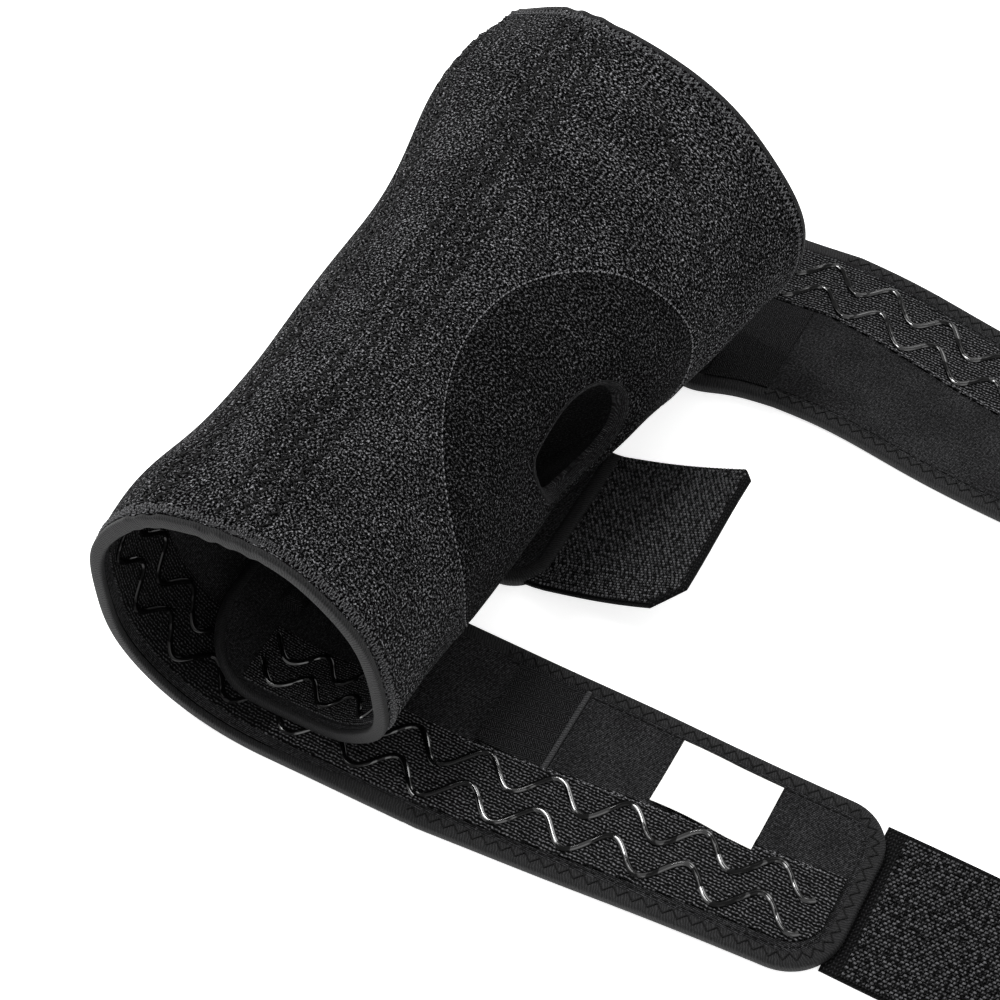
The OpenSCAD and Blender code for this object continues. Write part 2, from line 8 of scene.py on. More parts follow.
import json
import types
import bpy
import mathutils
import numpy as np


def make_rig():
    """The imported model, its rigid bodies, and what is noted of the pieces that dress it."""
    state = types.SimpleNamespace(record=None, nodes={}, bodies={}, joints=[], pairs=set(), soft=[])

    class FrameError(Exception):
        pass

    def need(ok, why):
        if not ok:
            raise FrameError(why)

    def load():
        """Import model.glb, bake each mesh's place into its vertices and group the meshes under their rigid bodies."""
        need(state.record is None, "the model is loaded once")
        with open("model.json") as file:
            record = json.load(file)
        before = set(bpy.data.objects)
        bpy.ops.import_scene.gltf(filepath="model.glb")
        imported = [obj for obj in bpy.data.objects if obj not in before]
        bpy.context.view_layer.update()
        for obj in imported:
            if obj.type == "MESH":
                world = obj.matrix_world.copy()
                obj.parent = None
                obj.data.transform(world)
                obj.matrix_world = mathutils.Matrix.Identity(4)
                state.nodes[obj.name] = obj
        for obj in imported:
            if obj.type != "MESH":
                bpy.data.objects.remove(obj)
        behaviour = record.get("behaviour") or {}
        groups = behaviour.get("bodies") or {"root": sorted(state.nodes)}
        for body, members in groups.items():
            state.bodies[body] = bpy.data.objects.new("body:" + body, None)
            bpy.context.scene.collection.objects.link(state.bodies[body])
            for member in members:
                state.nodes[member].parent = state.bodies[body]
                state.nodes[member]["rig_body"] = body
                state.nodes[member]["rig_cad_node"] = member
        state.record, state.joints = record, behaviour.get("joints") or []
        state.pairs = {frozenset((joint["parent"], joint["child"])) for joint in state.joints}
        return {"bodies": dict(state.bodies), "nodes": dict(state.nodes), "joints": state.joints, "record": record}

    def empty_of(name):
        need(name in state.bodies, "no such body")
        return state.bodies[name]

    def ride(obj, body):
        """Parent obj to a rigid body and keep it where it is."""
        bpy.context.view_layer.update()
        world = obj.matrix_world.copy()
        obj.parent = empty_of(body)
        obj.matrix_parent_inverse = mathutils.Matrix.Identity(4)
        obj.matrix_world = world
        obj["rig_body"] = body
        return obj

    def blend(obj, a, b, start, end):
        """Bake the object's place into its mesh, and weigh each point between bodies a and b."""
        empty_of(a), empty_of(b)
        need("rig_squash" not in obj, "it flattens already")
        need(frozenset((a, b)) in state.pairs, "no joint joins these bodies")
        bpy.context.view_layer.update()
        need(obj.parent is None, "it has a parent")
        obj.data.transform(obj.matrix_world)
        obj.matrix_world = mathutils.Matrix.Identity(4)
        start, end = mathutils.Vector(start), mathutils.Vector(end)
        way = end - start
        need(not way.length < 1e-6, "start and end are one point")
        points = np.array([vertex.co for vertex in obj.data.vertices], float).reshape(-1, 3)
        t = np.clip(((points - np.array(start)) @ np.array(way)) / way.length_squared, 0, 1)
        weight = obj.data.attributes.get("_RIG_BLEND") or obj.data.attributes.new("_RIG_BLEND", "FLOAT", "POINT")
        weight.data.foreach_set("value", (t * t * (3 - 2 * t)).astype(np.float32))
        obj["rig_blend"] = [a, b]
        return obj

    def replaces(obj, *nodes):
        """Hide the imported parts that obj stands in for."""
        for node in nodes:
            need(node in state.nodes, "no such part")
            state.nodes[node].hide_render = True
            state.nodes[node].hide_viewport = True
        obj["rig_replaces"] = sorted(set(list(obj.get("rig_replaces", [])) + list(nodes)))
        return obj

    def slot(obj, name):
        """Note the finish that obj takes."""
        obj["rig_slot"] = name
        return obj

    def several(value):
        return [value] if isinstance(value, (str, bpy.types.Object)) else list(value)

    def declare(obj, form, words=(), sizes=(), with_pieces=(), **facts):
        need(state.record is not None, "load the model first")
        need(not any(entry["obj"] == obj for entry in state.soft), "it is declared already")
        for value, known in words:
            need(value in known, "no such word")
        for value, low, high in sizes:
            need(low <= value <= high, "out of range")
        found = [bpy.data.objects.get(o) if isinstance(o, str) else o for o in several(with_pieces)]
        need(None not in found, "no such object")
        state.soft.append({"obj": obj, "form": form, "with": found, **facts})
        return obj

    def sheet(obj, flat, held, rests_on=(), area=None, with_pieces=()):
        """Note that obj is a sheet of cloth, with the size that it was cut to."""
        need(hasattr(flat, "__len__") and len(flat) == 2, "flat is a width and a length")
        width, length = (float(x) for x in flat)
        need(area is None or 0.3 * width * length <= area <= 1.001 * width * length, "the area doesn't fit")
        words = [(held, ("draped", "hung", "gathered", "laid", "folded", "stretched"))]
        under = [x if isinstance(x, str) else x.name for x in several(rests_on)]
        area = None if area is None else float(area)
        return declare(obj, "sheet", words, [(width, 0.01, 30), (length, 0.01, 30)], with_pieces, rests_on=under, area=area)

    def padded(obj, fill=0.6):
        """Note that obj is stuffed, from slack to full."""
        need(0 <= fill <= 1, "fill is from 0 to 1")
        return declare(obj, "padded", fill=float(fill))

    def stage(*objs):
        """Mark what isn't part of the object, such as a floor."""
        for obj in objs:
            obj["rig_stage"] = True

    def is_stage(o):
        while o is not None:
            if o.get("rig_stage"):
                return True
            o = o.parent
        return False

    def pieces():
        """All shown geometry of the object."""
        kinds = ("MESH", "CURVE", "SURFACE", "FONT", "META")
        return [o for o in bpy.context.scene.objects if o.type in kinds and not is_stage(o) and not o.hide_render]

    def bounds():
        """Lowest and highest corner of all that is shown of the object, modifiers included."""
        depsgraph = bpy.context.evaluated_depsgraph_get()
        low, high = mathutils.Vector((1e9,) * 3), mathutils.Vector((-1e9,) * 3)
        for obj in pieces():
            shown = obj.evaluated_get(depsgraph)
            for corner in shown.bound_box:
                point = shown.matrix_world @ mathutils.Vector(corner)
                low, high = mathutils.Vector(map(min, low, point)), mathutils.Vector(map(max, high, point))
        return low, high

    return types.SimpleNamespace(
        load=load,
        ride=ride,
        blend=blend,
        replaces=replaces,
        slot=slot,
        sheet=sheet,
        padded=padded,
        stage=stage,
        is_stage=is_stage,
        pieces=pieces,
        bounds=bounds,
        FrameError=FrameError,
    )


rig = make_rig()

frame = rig.load()

import json
import math

import bpy
import numpy as np
from mathutils import Vector

cad_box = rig.bounds()
MM = 0.001

# ---- Driving dimensions, as in the CAD ----
HEIGHT = (109.5, 106.5, 112.5)
LEFT = (56, 57.5, 66)
RIGHT = (47.5, 59, 82)
ROUNDNESS = 2.2
PILE_T, FOAM_T, LINING_T = 0.8, 2.6, 0.8
PANEL_T = PILE_T + FOAM_T + LINING_T
FOAM_TOP = PILE_T + FOAM_T
LAP_LIFT = PANEL_T + 1.4
TAPE_T = 0.8
CALF_Y, THIGH_Y = -148, 152
LENGTH = THIGH_Y - CALF_Y
FLAT_X, TAB_ROOT_X, NOTCH_X = -4, 46, 28
CALF_FOLD_X, THIGH_FOLD_X = 56, 84
CALF_TIP_X, THIGH_TIP_X = 193, 216
CALF_INNER_Y, CALF_OUTER_TIP_Y, OUTER_DROP = -71, -134, 1.5
THIGH_INNER_Y, THIGH_INNER_TIP_Y, THIGH_OUTER_TIP_Y = 68, 58, 132
TIP_R_OUTER, TIP_R_INNER = 20, 16
STRAP_W, STRAP_L, STRAP_T, HOOK_T = 56, 96, 1.2, 1.2
CALF_STRAP_Y, THIGH_STRAP_Y = -100.5, 95
TAB_W, TAB_L, TAB_Y, TAB_RISE = 69, 56, -15, 25
LAP_S, LAP_CORNER_S, LAP_CORNER_V = 404, 34, 0.13
INSERT = (265, 70, 0.46, 0.27)
HOLE = (261, 21, 0.492, 0.098)
STAYS = (151, 174.5, 356, 379)
GRIP_W = 29
BEAD_ROWS = (10.5, 23.5)
TOP_S = 180


def smooth(t):
    c = np.clip(t, 0, 1)
    return c * c * (3 - 2 * c)


def mix(a, b, t):
    return a + (b - a) * t


def along(v, stations):
    """Value through three stations along the leg: calf end, knee, thigh end."""
    a, b, c = stations
    return 2 * (v - 0.5) * (v - 1) * a + 4 * v * (1 - v) * b + 2 * v * (v - 0.5) * c


def spow(t):
    return np.sign(t) * np.abs(t) ** (2 / ROUNDNESS)


def bump(t, width):
    return np.exp(-((t / width) ** 2))


def calf_edge(s):
    return CALF_Y + 8 * smooth((s - 60) / 120) + 5 * smooth((s - 270) / 90)


def thigh_edge(s):
    return THIGH_Y - 55 * smooth((s - 40) / 214) - 3.5 * bump(s - 130, 28)


def oval_distance(s, v, oval):
    """Millimetres outside an oval on the roll, less than 0 inside it."""
    mid_s, rs, mid_v, rv = oval
    a, b = (s - mid_s) / rs, (v - mid_v) / rv
    r = np.sqrt(a * a + b * b) + 1e-6
    slope = np.sqrt((a / rs / 1.06) ** 2 + (b / rv / 255) ** 2) / r + 1e-6
    return (r - 1) / slope


# Rows of stitching over the stays: q at v 0, 0.5 and 1
STITCH_ROWS = ((141, 134, 116), (147.5, 141, 123), (170, 166, 161), (177, 173, 168), (183.5, 180.5, 176))


def relief(s, v):
    """How far the cloth stands out of the plain roll, in millimetres."""
    worn = smooth((s - 70) / 40) * smooth((400 - s) / 50)
    waves = 0.5 * np.sin(s / 17 + 5 * v) * np.sin(11 * v + s / 60) + 0.35 * np.sin(s / 7.3 + 23 * v)
    grooves = 0
    for row in STITCH_ROWS:
        off = s - along(v, row)
        grooves = grooves - 0.85 * bump(off, 2.6) * (0.55 + 0.45 * np.cos(v * 340 + row[0]))
        grooves = grooves + 0.3 * bump(np.abs(off) - 4.2, 1.8) * (1 + 0.5 * np.sin(v * 230 + row[0]))
    seam = oval_distance(s, v, INSERT)
    edge = oval_distance(s, v, HOLE)
    seam_dent = -0.45 * bump(seam, 1.3) + 0.3 * bump(seam - 3, 2.5)
    hole_dent = (-2.2 * bump(np.maximum(edge, 0), 6) - 5.5 * bump(s - 306, 24) * bump(v - 0.45, 0.13)
                 - 4.0 * bump(s - 250, 13) * bump(v - 0.385, 0.05))
    rims = -0.6 * bump(np.minimum(v, 1 - v) * LENGTH - 4.2, 1.0)
    swell = 6.5 * bump(s - 118, 34) * bump(v - 0.84, 0.13) + 4.5 * bump(s - 113, 30) * bump(v - 0.08, 0.08)
    tuck = (2.5 * bump(s - 195, 30) * smooth((v - 0.85) / 0.15)
            - 3.5 * bump(s - 132, 30) * smooth((v - 0.9) / 0.1))
    return worn * (waves + grooves + seam_dent + hole_dent + rims + swell + tuck)


def place(q, v, h):
    """The point, in millimetres, of a place on the cloth."""
    q, v, h = np.broadcast_arrays(np.asarray(q, float), np.asarray(v, float), np.asarray(h, float))
    s = np.maximum(q, 0)
    depth = h - relief(s, v)
    height, left, right = along(v, HEIGHT), along(v, LEFT), along(v, RIGHT)
    mid = height / 2
    a = np.where(s < 180, left, np.where(s < 360, right, left - LAP_LIFT)) - depth
    b = np.where(s < 270, mid, mid - LAP_LIFT) - depth
    angle = np.radians(s)
    rolled = (FLAT_X - a * spow(np.sin(angle)), mix(calf_edge(s), thigh_edge(s), v),
              mid - b * spow(np.cos(angle)))
    out = FLAT_X - q
    y = mix(CALF_Y, THIGH_Y, v)
    y = y + 3 * bump(out - 104, 34) * smooth((y - 20) / 40)
    y = y - 5 * bump(out - 52, 13) * bump(y - 66, 16)
    rise = 0.5 * smooth((out - 60) / 60) * (1 + np.sin(out / 19 + y / 23))
    rise = rise + 1.8 * bump(out - 50, 9) * bump(y + 15, 26)
    floor = (out, y, h + rise)
    return np.stack([np.where(q < 0, f, r) for f, r in zip(floor, rolled)], -1)


# Length of cloth along the roll up to each degree, at the knee
_turn = np.arange(0, 421)
_steps = np.linalg.norm(np.diff(place(_turn, 0.5, 2), axis=0), axis=1)
_arc = np.concatenate([[0], np.cumsum(_steps)])


def arc(q):
    """Millimetres of cloth from the bottom of the roll to q."""
    return np.where(q < 0, q, np.interp(q, _turn, _arc))


def per_q(q):
    """Millimetres of cloth in one unit of q."""
    return np.where(q < 0, 1.0, np.interp(q, _turn[:-1] + 0.5, _steps))


def per_v(q):
    """Millimetres of cloth in one unit of v."""
    s = np.maximum(q, 0)
    return thigh_edge(s) - calf_edge(s)


def on_floor(x, y):
    """q and v of a point of the panel on the floor."""
    return FLAT_X - np.asarray(x, float), (np.asarray(y, float) - CALF_Y) / LENGTH


# ---- Meshes ----
class Build:
    """Points, cloth coordinates and faces of one piece."""

    def __init__(self):
        self.points, self.uv, self.faces, self.count = [], [], {}, 0

    def add(self, points, uv, faces):
        self.points.append(np.asarray(points, float).reshape(-1, 3))
        self.uv.append(np.asarray(uv, float).reshape(-1, 2))
        for f in faces:
            f = np.asarray(f)
            self.faces.setdefault(f.shape[-1], []).append(f.reshape(-1, f.shape[-1]) + self.count)
        self.count += len(self.points[-1])
        return self

    def make(self, name, material, slot, sharp=35):
        points, uv = np.concatenate(self.points), np.concatenate(self.uv)
        me = bpy.data.meshes.new(name)
        me.vertices.add(len(points))
        me.vertices.foreach_set("co", (points * MM).astype(np.float32).ravel())
        batches = [(size, np.concatenate(group)) for size, group in sorted(self.faces.items())]
        corners = np.concatenate([group.ravel() for size, group in batches])
        sizes = np.concatenate([np.full(len(group), size) for size, group in batches])
        me.loops.add(len(corners))
        me.loops.foreach_set("vertex_index", corners.astype(np.int32))
        me.polygons.add(len(sizes))
        me.polygons.foreach_set("loop_start", (np.cumsum(sizes) - sizes).astype(np.int32))
        me.polygons.foreach_set("use_smooth", np.ones(len(sizes), bool))
        me.uv_layers.new(name="cloth").data.foreach_set("uv", uv[corners].astype(np.float32).ravel())
        me.update(calc_edges=True)
        me.validate()
        me.set_sharp_from_angle(angle=math.radians(sharp))
        me.materials.append(material)
        piece = bpy.data.objects.new(name, me)
        bpy.context.scene.collection.objects.link(piece)
        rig.slot(piece, slot)
        return piece


def grid_faces(n, w, k, loop):
    """Quads of one side of a grid of n rows and w columns, its first point at k."""
    j, i = np.meshgrid(np.arange(n - 1), np.arange(w if loop else w - 1), indexing="ij")
    a = k + j * w + i
    b = k + j * w + (i + 1) % w
    return np.stack([a, b, b + w, a + w], -1).reshape(-1, 4)


def shell(build, q, v, h0, h1, loop=False):
    """Adds a closed slab of cloth over a grid of places, from depth h0 to h1.

    In a loop the rows close on themselves, the outermost first.
    """
    q, v = np.broadcast_arrays(np.asarray(q, float), np.asarray(v, float))
    n, w = q.shape
    half = n * w
    outer, inner = place(q, v, h0), place(q, v, h1)
    uv = np.stack([arc(q), mix(CALF_Y, THIGH_Y, v)], -1)
    top = grid_faces(n, w, 0, loop)
    under = grid_faces(n, w, half, loop)[:, ::-1]
    i = np.arange(w if loop else w - 1)
    nxt = (i + 1) % w
    last = (n - 1) * w
    faces = [top, under, np.stack([i, half + i, half + nxt, nxt], -1),
             np.stack([last + i, last + nxt, half + last + nxt, half + last + i], -1)]
    if not loop:
        j = np.arange(n - 1) * w
        faces.append(np.stack([j, j + w, half + j + w, half + j], -1))
        e = j + w - 1
        faces.append(np.stack([e, half + e, half + e + w, e + w], -1))
    return build.add(np.stack([outer, inner]), np.stack([uv, uv]), faces)


def heading(q, v):
    """Unit vectors, in q and v for one millimetre, to the left of a path over the cloth."""
    u, y = arc(q), v * per_v(q)
    du, dy = np.gradient(u, axis=-1), np.gradient(y, axis=-1)
    size = np.hypot(du, dy) + 1e-9
    return -dy / size / per_q(q), du / size / per_v(q)


def bar_faces(n, r, m):
    """Faces of n closed bars, each with r sections of m points."""
    k = np.arange(n)[:, None, None] * r * m
    j = np.arange(r - 1)[None, :, None] * m
    i = np.arange(m)[None, None, :]
    nxt = (i + 1) % m
    sides = np.stack(np.broadcast_arrays(k + j + i, k + j + nxt, k + j + m + nxt, k + j + m + i), -1)
    start = (np.arange(n)[:, None] * r * m + np.arange(m))[:, ::-1]
    return [sides.reshape(-1, 4), start, start[:, ::-1] + (r - 1) * m]


def sweep(build, q, v, profile, scale=None, centre=(0, 0), widen=1.0):
    """Adds closed bars whose section is drawn in (millimetres left of the path, depth).

    Rows of q and v are separate paths. Along them scale makes the section larger or smaller about its
    centre, and widen only wider.
    """
    q, v = np.atleast_2d(q), np.atleast_2d(v)
    n, r = q.shape
    nq, nv = heading(q, v)
    profile, centre = np.asarray(profile, float), np.asarray(centre, float)
    m = len(profile)
    scale = np.ones((n, r)) if scale is None else np.broadcast_to(scale, (n, r))
    section = centre + (profile - centre)[None, None] * scale[..., None, None]
    d, h = section[..., 0] * np.broadcast_to(widen, (n, r))[..., None], section[..., 1]
    points = place(q[..., None] + nq[..., None] * d, v[..., None] + nv[..., None] * d, h)
    steps = np.diff(place(q, v, 2), axis=1, prepend=place(q[:, :1], v[:, :1], 2))
    run = np.cumsum(np.linalg.norm(steps, axis=-1), axis=1)
    round_it = np.concatenate([[0], np.cumsum(np.linalg.norm(np.diff(profile, axis=0), axis=1))])
    uv = np.stack(np.broadcast_arrays(run[..., None], round_it), -1)
    return build.add(points, uv, bar_faces(n, r, m))


def ring(centre, half_d, half_h, count=12, power=2.0, turn=1):
    """A rounded section: an oval at power 2, squarer above it. turn 1 runs from left towards the inside."""
    t = np.linspace(0, 2 * np.pi, count, endpoint=False)
    c, s = np.cos(t), np.sin(t)
    p = 2 / power
    return np.stack([centre[0] + half_d * np.sign(c) * np.abs(c) ** p,
                     centre[1] - turn * half_h * np.sign(s) * np.abs(s) ** p], -1)


def spaced(q, v, step):
    """The same path with a point every step millimetres."""
    q, v = np.asarray(q, float), np.asarray(v, float)
    run = np.concatenate([[0], np.cumsum(np.hypot(np.diff(arc(q)), np.diff(v * per_v(q))))])
    t = np.linspace(0, run[-1], max(3, int(round(run[-1] / step)) + 1))
    return np.interp(t, run, q), np.interp(t, run, v)


def rounded(corners, step=1.0):
    """A path through (x, y, radius) corners on the floor, with arcs at the corners."""
    pts = [np.array(c[:2], float) for c in corners]
    path = [pts[0]]
    for i in range(1, len(pts) - 1):
        a, b, c = pts[i - 1], pts[i], pts[i + 1]
        u, w = (a - b) / np.linalg.norm(a - b), (c - b) / np.linalg.norm(c - b)
        half = math.acos(max(-1, min(1, u @ w))) / 2
        r = corners[i][2]
        if r <= 0 or half > math.pi / 2 - 0.01:
            path.append(b)
            continue
        mid = b + (u + w) / np.linalg.norm(u + w) * r / math.sin(half)
        p0, p1 = b + u * r / math.tan(half), b + w * r / math.tan(half)
        a0, a1 = math.atan2(*(p0 - mid)[::-1]), math.atan2(*(p1 - mid)[::-1])
        turn = (a1 - a0 + math.pi) % (2 * math.pi) - math.pi
        for t in np.linspace(0, 1, max(4, int(abs(turn) * r / step) + 2)):
            path.append(mid + r * np.array([math.cos(a0 + turn * t), math.sin(a0 + turn * t)]))
    path.append(pts[-1])
    x, y = np.array(path).T
    return spaced(*on_floor(x, y), step)


def dashes(build, q, v, depth, pitch=2.6, length=2.0, thick=0.5, side=0.0):
    """A row of straight stitches along a path, each a short thread pulled in at its ends."""
    q, v = spaced(q, v, 0.25)
    nq, nv = heading(q, v)
    q, v = q + nq * side, v + nv * side
    run = np.arange(len(q)) * 0.25
    starts = np.arange(0.3, run[-1] - length, pitch)
    t = np.linspace(0, 1, 6)
    at = starts[:, None] + t * length
    sink = np.sqrt(np.maximum(0.02, 1 - (2 * t - 1) ** 2))
    return sweep(build, np.interp(at, run, q), np.interp(at, run, v),
                 ring((0, depth), thick / 2, thick / 2, 6), scale=sink, centre=(0, depth))


def zigzag(build, q, v, depth, width=3.2, pitch=2.6, thick=0.42, side=0.0):
    """A zigzag thread along a path."""
    q, v = spaced(q, v, 0.22)
    run = np.arange(len(q)) * 0.22
    nq, nv = heading(q, v)
    wave = side + width / 2 * np.arcsin(np.sin(2 * np.pi * run / pitch / 2)) / (np.pi / 2)
    return sweep(build, q + nq * wave, v + nv * wave, ring((0, depth), thick / 2, thick / 2, 6))


def flat_size(q, v):
    """(width, length, area) in metres of a grid of cloth."""
    u, y = arc(q), v * per_v(q)
    area = 0.5 * np.abs((u[:-1, :-1] - u[1:, 1:]) * (y[:-1, 1:] - y[1:, :-1])
                        - (u[:-1, 1:] - u[1:, :-1]) * (y[:-1, :-1] - y[1:, 1:])).sum()
    return np.ptp(u) * MM, np.ptp(y) * MM, area * MM * MM


# ---- Materials ----
class Paint:
    """A procedural material whose patterns read the cloth coordinates, in millimetres."""

    def __init__(self, name, roughness, specular, **values):
        self.material = bpy.data.materials.new(name)
        self.material.use_nodes = True
        self.nodes, self.links = self.material.node_tree.nodes, self.material.node_tree.links
        self.shader = self.nodes["Principled BSDF"]
        self.set(self.shader, {"Roughness": roughness, "Specular IOR Level": specular, **values})
        self.cloth = self.nodes.new("ShaderNodeUVMap")
        self.cloth.uv_map = "cloth"

    def set(self, node, values):
        for key, value in values.items():
            socket = node.inputs[key]
            if isinstance(value, bpy.types.NodeSocket):
                self.links.new(value, socket)
            else:
                socket.default_value = value

    def node(self, kind, output=0, props=None, **values):
        made = self.nodes.new("ShaderNode" + kind)
        for key, value in (props or {}).items():
            setattr(made, key, value)
        self.set(made, values)
        return made.outputs[output]

    def at(self, x=1.0, y=1.0, turn=0.0):
        return self.node("Mapping", Vector=self.cloth.outputs[0], Scale=(x, y, 1), Rotation=(0, 0, turn))

    def noise(self, where, scale, detail=2.0, roughness=0.5):
        return self.node("TexNoise", 0, {"noise_dimensions": "2D"},
                         Vector=where, Scale=scale, Detail=detail, Roughness=roughness)

    def cells(self, where, scale, output="Distance", randomness=1.0):
        return self.node("TexVoronoi", output, {"voronoi_dimensions": "2D"},
                         Vector=where, Scale=scale, Randomness=randomness)

    def math(self, kind, a, b=0.0):
        made = self.nodes.new("ShaderNodeMath")
        made.operation = kind
        for socket, value in zip(made.inputs, (a, b)):
            if isinstance(value, bpy.types.NodeSocket):
                self.links.new(value, socket)
            else:
                socket.default_value = value
        return made.outputs[0]

    def plus(self, a, b):
        return self.math("ADD", a, b)

    def times(self, a, b):
        return self.math("MULTIPLY", a, b)

    def wave01(self, value, pitch):
        sine = self.math("SINE", self.times(value, 2 * math.pi / pitch))
        return self.plus(self.times(sine, 0.5), 0.5)

    def axis(self, name, turn=0.0):
        return self.node("SeparateXYZ", name, Vector=self.at(turn=turn))

    def span(self, value, low, high, to_low=0.0, to_high=1.0):
        made = self.nodes.new("ShaderNodeMapRange")
        made.interpolation_type = "SMOOTHSTEP"
        self.set(made, {"Value": value, "From Min": low, "From Max": high, "To Min": to_low, "To Max": to_high})
        return made.outputs[0]

    def colours(self, value, *stops):
        ramp = self.nodes.new("ShaderNodeValToRGB")
        points = ramp.color_ramp.elements
        while len(points) < len(stops):
            points.new(0.5)
        for point, (place_at, colour) in zip(points, stops):
            point.position = place_at
            point.color = (*colour, 1) if hasattr(colour, "__len__") else (colour, colour, colour * 1.04, 1)
        self.links.new(value, ramp.inputs[0])
        self.links.new(ramp.outputs[0], self.shader.inputs["Base Color"])

    def bumps(self, height, strength, distance):
        made = self.node("Bump", Height=height, Strength=strength, Distance=distance * MM)
        self.links.new(made, self.shader.inputs["Normal"])
        return self.material

    def rough(self, value, low, high):
        self.links.new(self.span(value, 0.0, 1.0, low, high), self.shader.inputs["Roughness"])


def pile_paint(name="loop_pile", cell=0.9, tip_highlight=0.32, busy=0.02, tone=1.0):
    """Brushed loops: near black, with painted highlights on the tips of some loops."""
    p = Paint(name, 0.95, 0.02)
    warp = p.noise(p.at(), 0.9, 2)
    at = p.node("VectorMath", 0, {"operation": "ADD"}, Vector=p.at())
    p.links.new(warp, at.node.inputs[1])
    loops = p.cells(at, 1 / cell)
    chance = p.node("SeparateColor", "Red", Color=p.cells(at, 1 / cell, "Color"))
    curl = p.noise(p.at(), 1.1, 2, 0.7)
    worn = p.noise(p.at(), 0.035, 3, 0.6)
    # Painted highlight: the tips of some loops take a lighter colour, standing in for the light that they catch
    tip = p.times(p.span(loops, 0.5, 0.08), p.span(chance, 0.74 - busy, 1.0))
    tip = p.times(tip, p.span(curl, 0.4, 0.6))
    ground = p.plus(p.span(curl, 0.33, 0.72, 0.0, 0.86), p.span(worn, 0.25, 0.75, -0.04, 0.04))
    value = p.plus(ground, p.times(tip, 0.8))
    p.colours(value, (0.18, 0.0005), (0.38, 0.0035 * tone), (0.55, 0.03 * tone), (0.76, 0.082 * tone),
              (1, tip_highlight))
    height = p.plus(p.times(p.span(loops, 0.6, 0.0), 0.7), p.times(curl, 1.2))
    return p.bumps(height, 1.0, 0.6)


def lining_paint(name="smooth_lining", dark=0.008, light=0.026):
    """Fine jersey knit with faint rows."""
    p = Paint(name, 0.9, 0.04)
    knit = p.times(p.wave01(p.axis("X"), 0.42), p.wave01(p.axis("Y"), 0.6))
    grain = p.noise(p.at(), 1.1, 2, 0.72)
    cloudy = p.noise(p.at(), 0.06, 2)
    value = p.plus(p.times(knit, 0.3), p.times(grain, 0.5))
    p.colours(p.times(value, p.span(cloudy, 0.25, 0.75, 0.95, 1.05)),
              (0.16, dark * 0.2), (0.32, dark), (0.44, light), (0.6, light * 4))
    return p.bumps(value, 0.5, 0.16)


def foam_paint():
    p = Paint("neoprene", 0.8, 0.15)
    pores = p.cells(p.at(), 1.7)
    p.colours(p.plus(pores, p.times(p.noise(p.at(), 0.3), 0.4)), (0.1, 0.008), (0.8, 0.03))
    return p.bumps(pores, 0.4, 0.2)


def binding_paint(name="edge_tape", light=0.022):
    """Tricot binding: fine cross ribs with a soft nylon shine."""
    p = Paint(name, 0.6, 0.16, **{"Sheen Weight": 0.02, "Sheen Roughness": 0.3})
    ribs = p.wave01(p.plus(p.axis("X", 0.3), p.times(p.noise(p.at(), 0.5, 2), 1.2)), 0.9)
    fine = p.wave01(p.axis("Y", -0.5), 0.4)
    grain = p.noise(p.at(), 1.5, 4, 0.72)
    value = p.plus(p.times(ribs, 0.4), p.times(fine, 0.2))
    value = p.plus(value, p.times(grain, 0.45))
    p.colours(value, (0.15, light * 0.1), (0.5, light * 0.4), (0.75, light), (1, light * 2.2))
    return p.bumps(value, 0.8, 0.35)


def elastic_paint(name="grip_elastic", tone=1.0):
    """Knitted elastic: ribs along the band, broken into short slanting stitches."""
    p = Paint(name, 0.8, 0.05)
    wobble = p.times(p.noise(p.at(), 0.42, 3), 1.5)
    across = p.plus(p.axis("Y"), wobble)
    row = p.math("FLOOR", p.math("DIVIDE", across, 1.15))
    even = p.times(p.math("PINGPONG", row, 1.0), 2.0)
    slant = p.times(p.math("SUBTRACT", even, 1.0), 0.45)
    shifted = p.plus(p.axis("X"), p.times(slant, across))
    ribs = p.wave01(across, 1.15)
    stitch = p.wave01(shifted, 1.4)
    slanted = p.times(p.times(stitch, ribs), 0.55)
    value = p.plus(p.times(ribs, 0.55), slanted)
    value = p.times(value, p.span(p.noise(p.at(), 0.9, 3, 0.7), 0.3, 0.65, 0.55, 1.0))
    p.colours(value, (0.08, 0.0006), (0.32, 0.004 * tone), (0.55, 0.035 * tone), (0.9, 0.15 * tone))
    return p.bumps(value, 0.9, 0.4)


def tape_paint(name="herringbone", light=0.03):
    """Twill tape with a small herringbone."""
    p = Paint(name, 0.85, 0.05)
    fold = p.math("PINGPONG", p.axis("Y"), 2.2)
    twill = p.wave01(p.plus(p.axis("X"), fold), 0.95)
    thread = p.wave01(p.axis("Y"), 0.55)
    value = p.plus(p.times(twill, 0.6), p.times(thread, 0.2))
    value = p.plus(value, p.times(p.noise(p.at(), 2.2, 2), 0.25))
    value = p.times(value, p.span(p.noise(p.at(), 1.3, 3, 0.7), 0.3, 0.65, 0.6, 1.15))
    p.colours(value, (0.15, 0.002), (0.5, 0.009), (0.85, light * 1.4))
    return p.bumps(value, 1.0, 0.4)


def silicone_paint(name="silicone_bead", shine=1.0):
    """Glossy black silicone, uneven enough that the light only catches it here and there."""
    p = Paint(name, 0.12, 0.2 * shine, **{"Coat Roughness": 0.06, "Coat IOR": 1.8})
    lumps = p.noise(p.at(), 0.1, 1)
    p.colours(lumps, (0.2, 0.001), (0.8, 0.003))
    p.rough(lumps, 0.06, 0.2)
    p.set(p.shader, {"Coat Weight": p.span(p.noise(p.at(), 0.13, 2), 0.49, 0.53, 0.0, shine)})
    return p.bumps(p.times(lumps, 4.0), 0.4, 1.0)


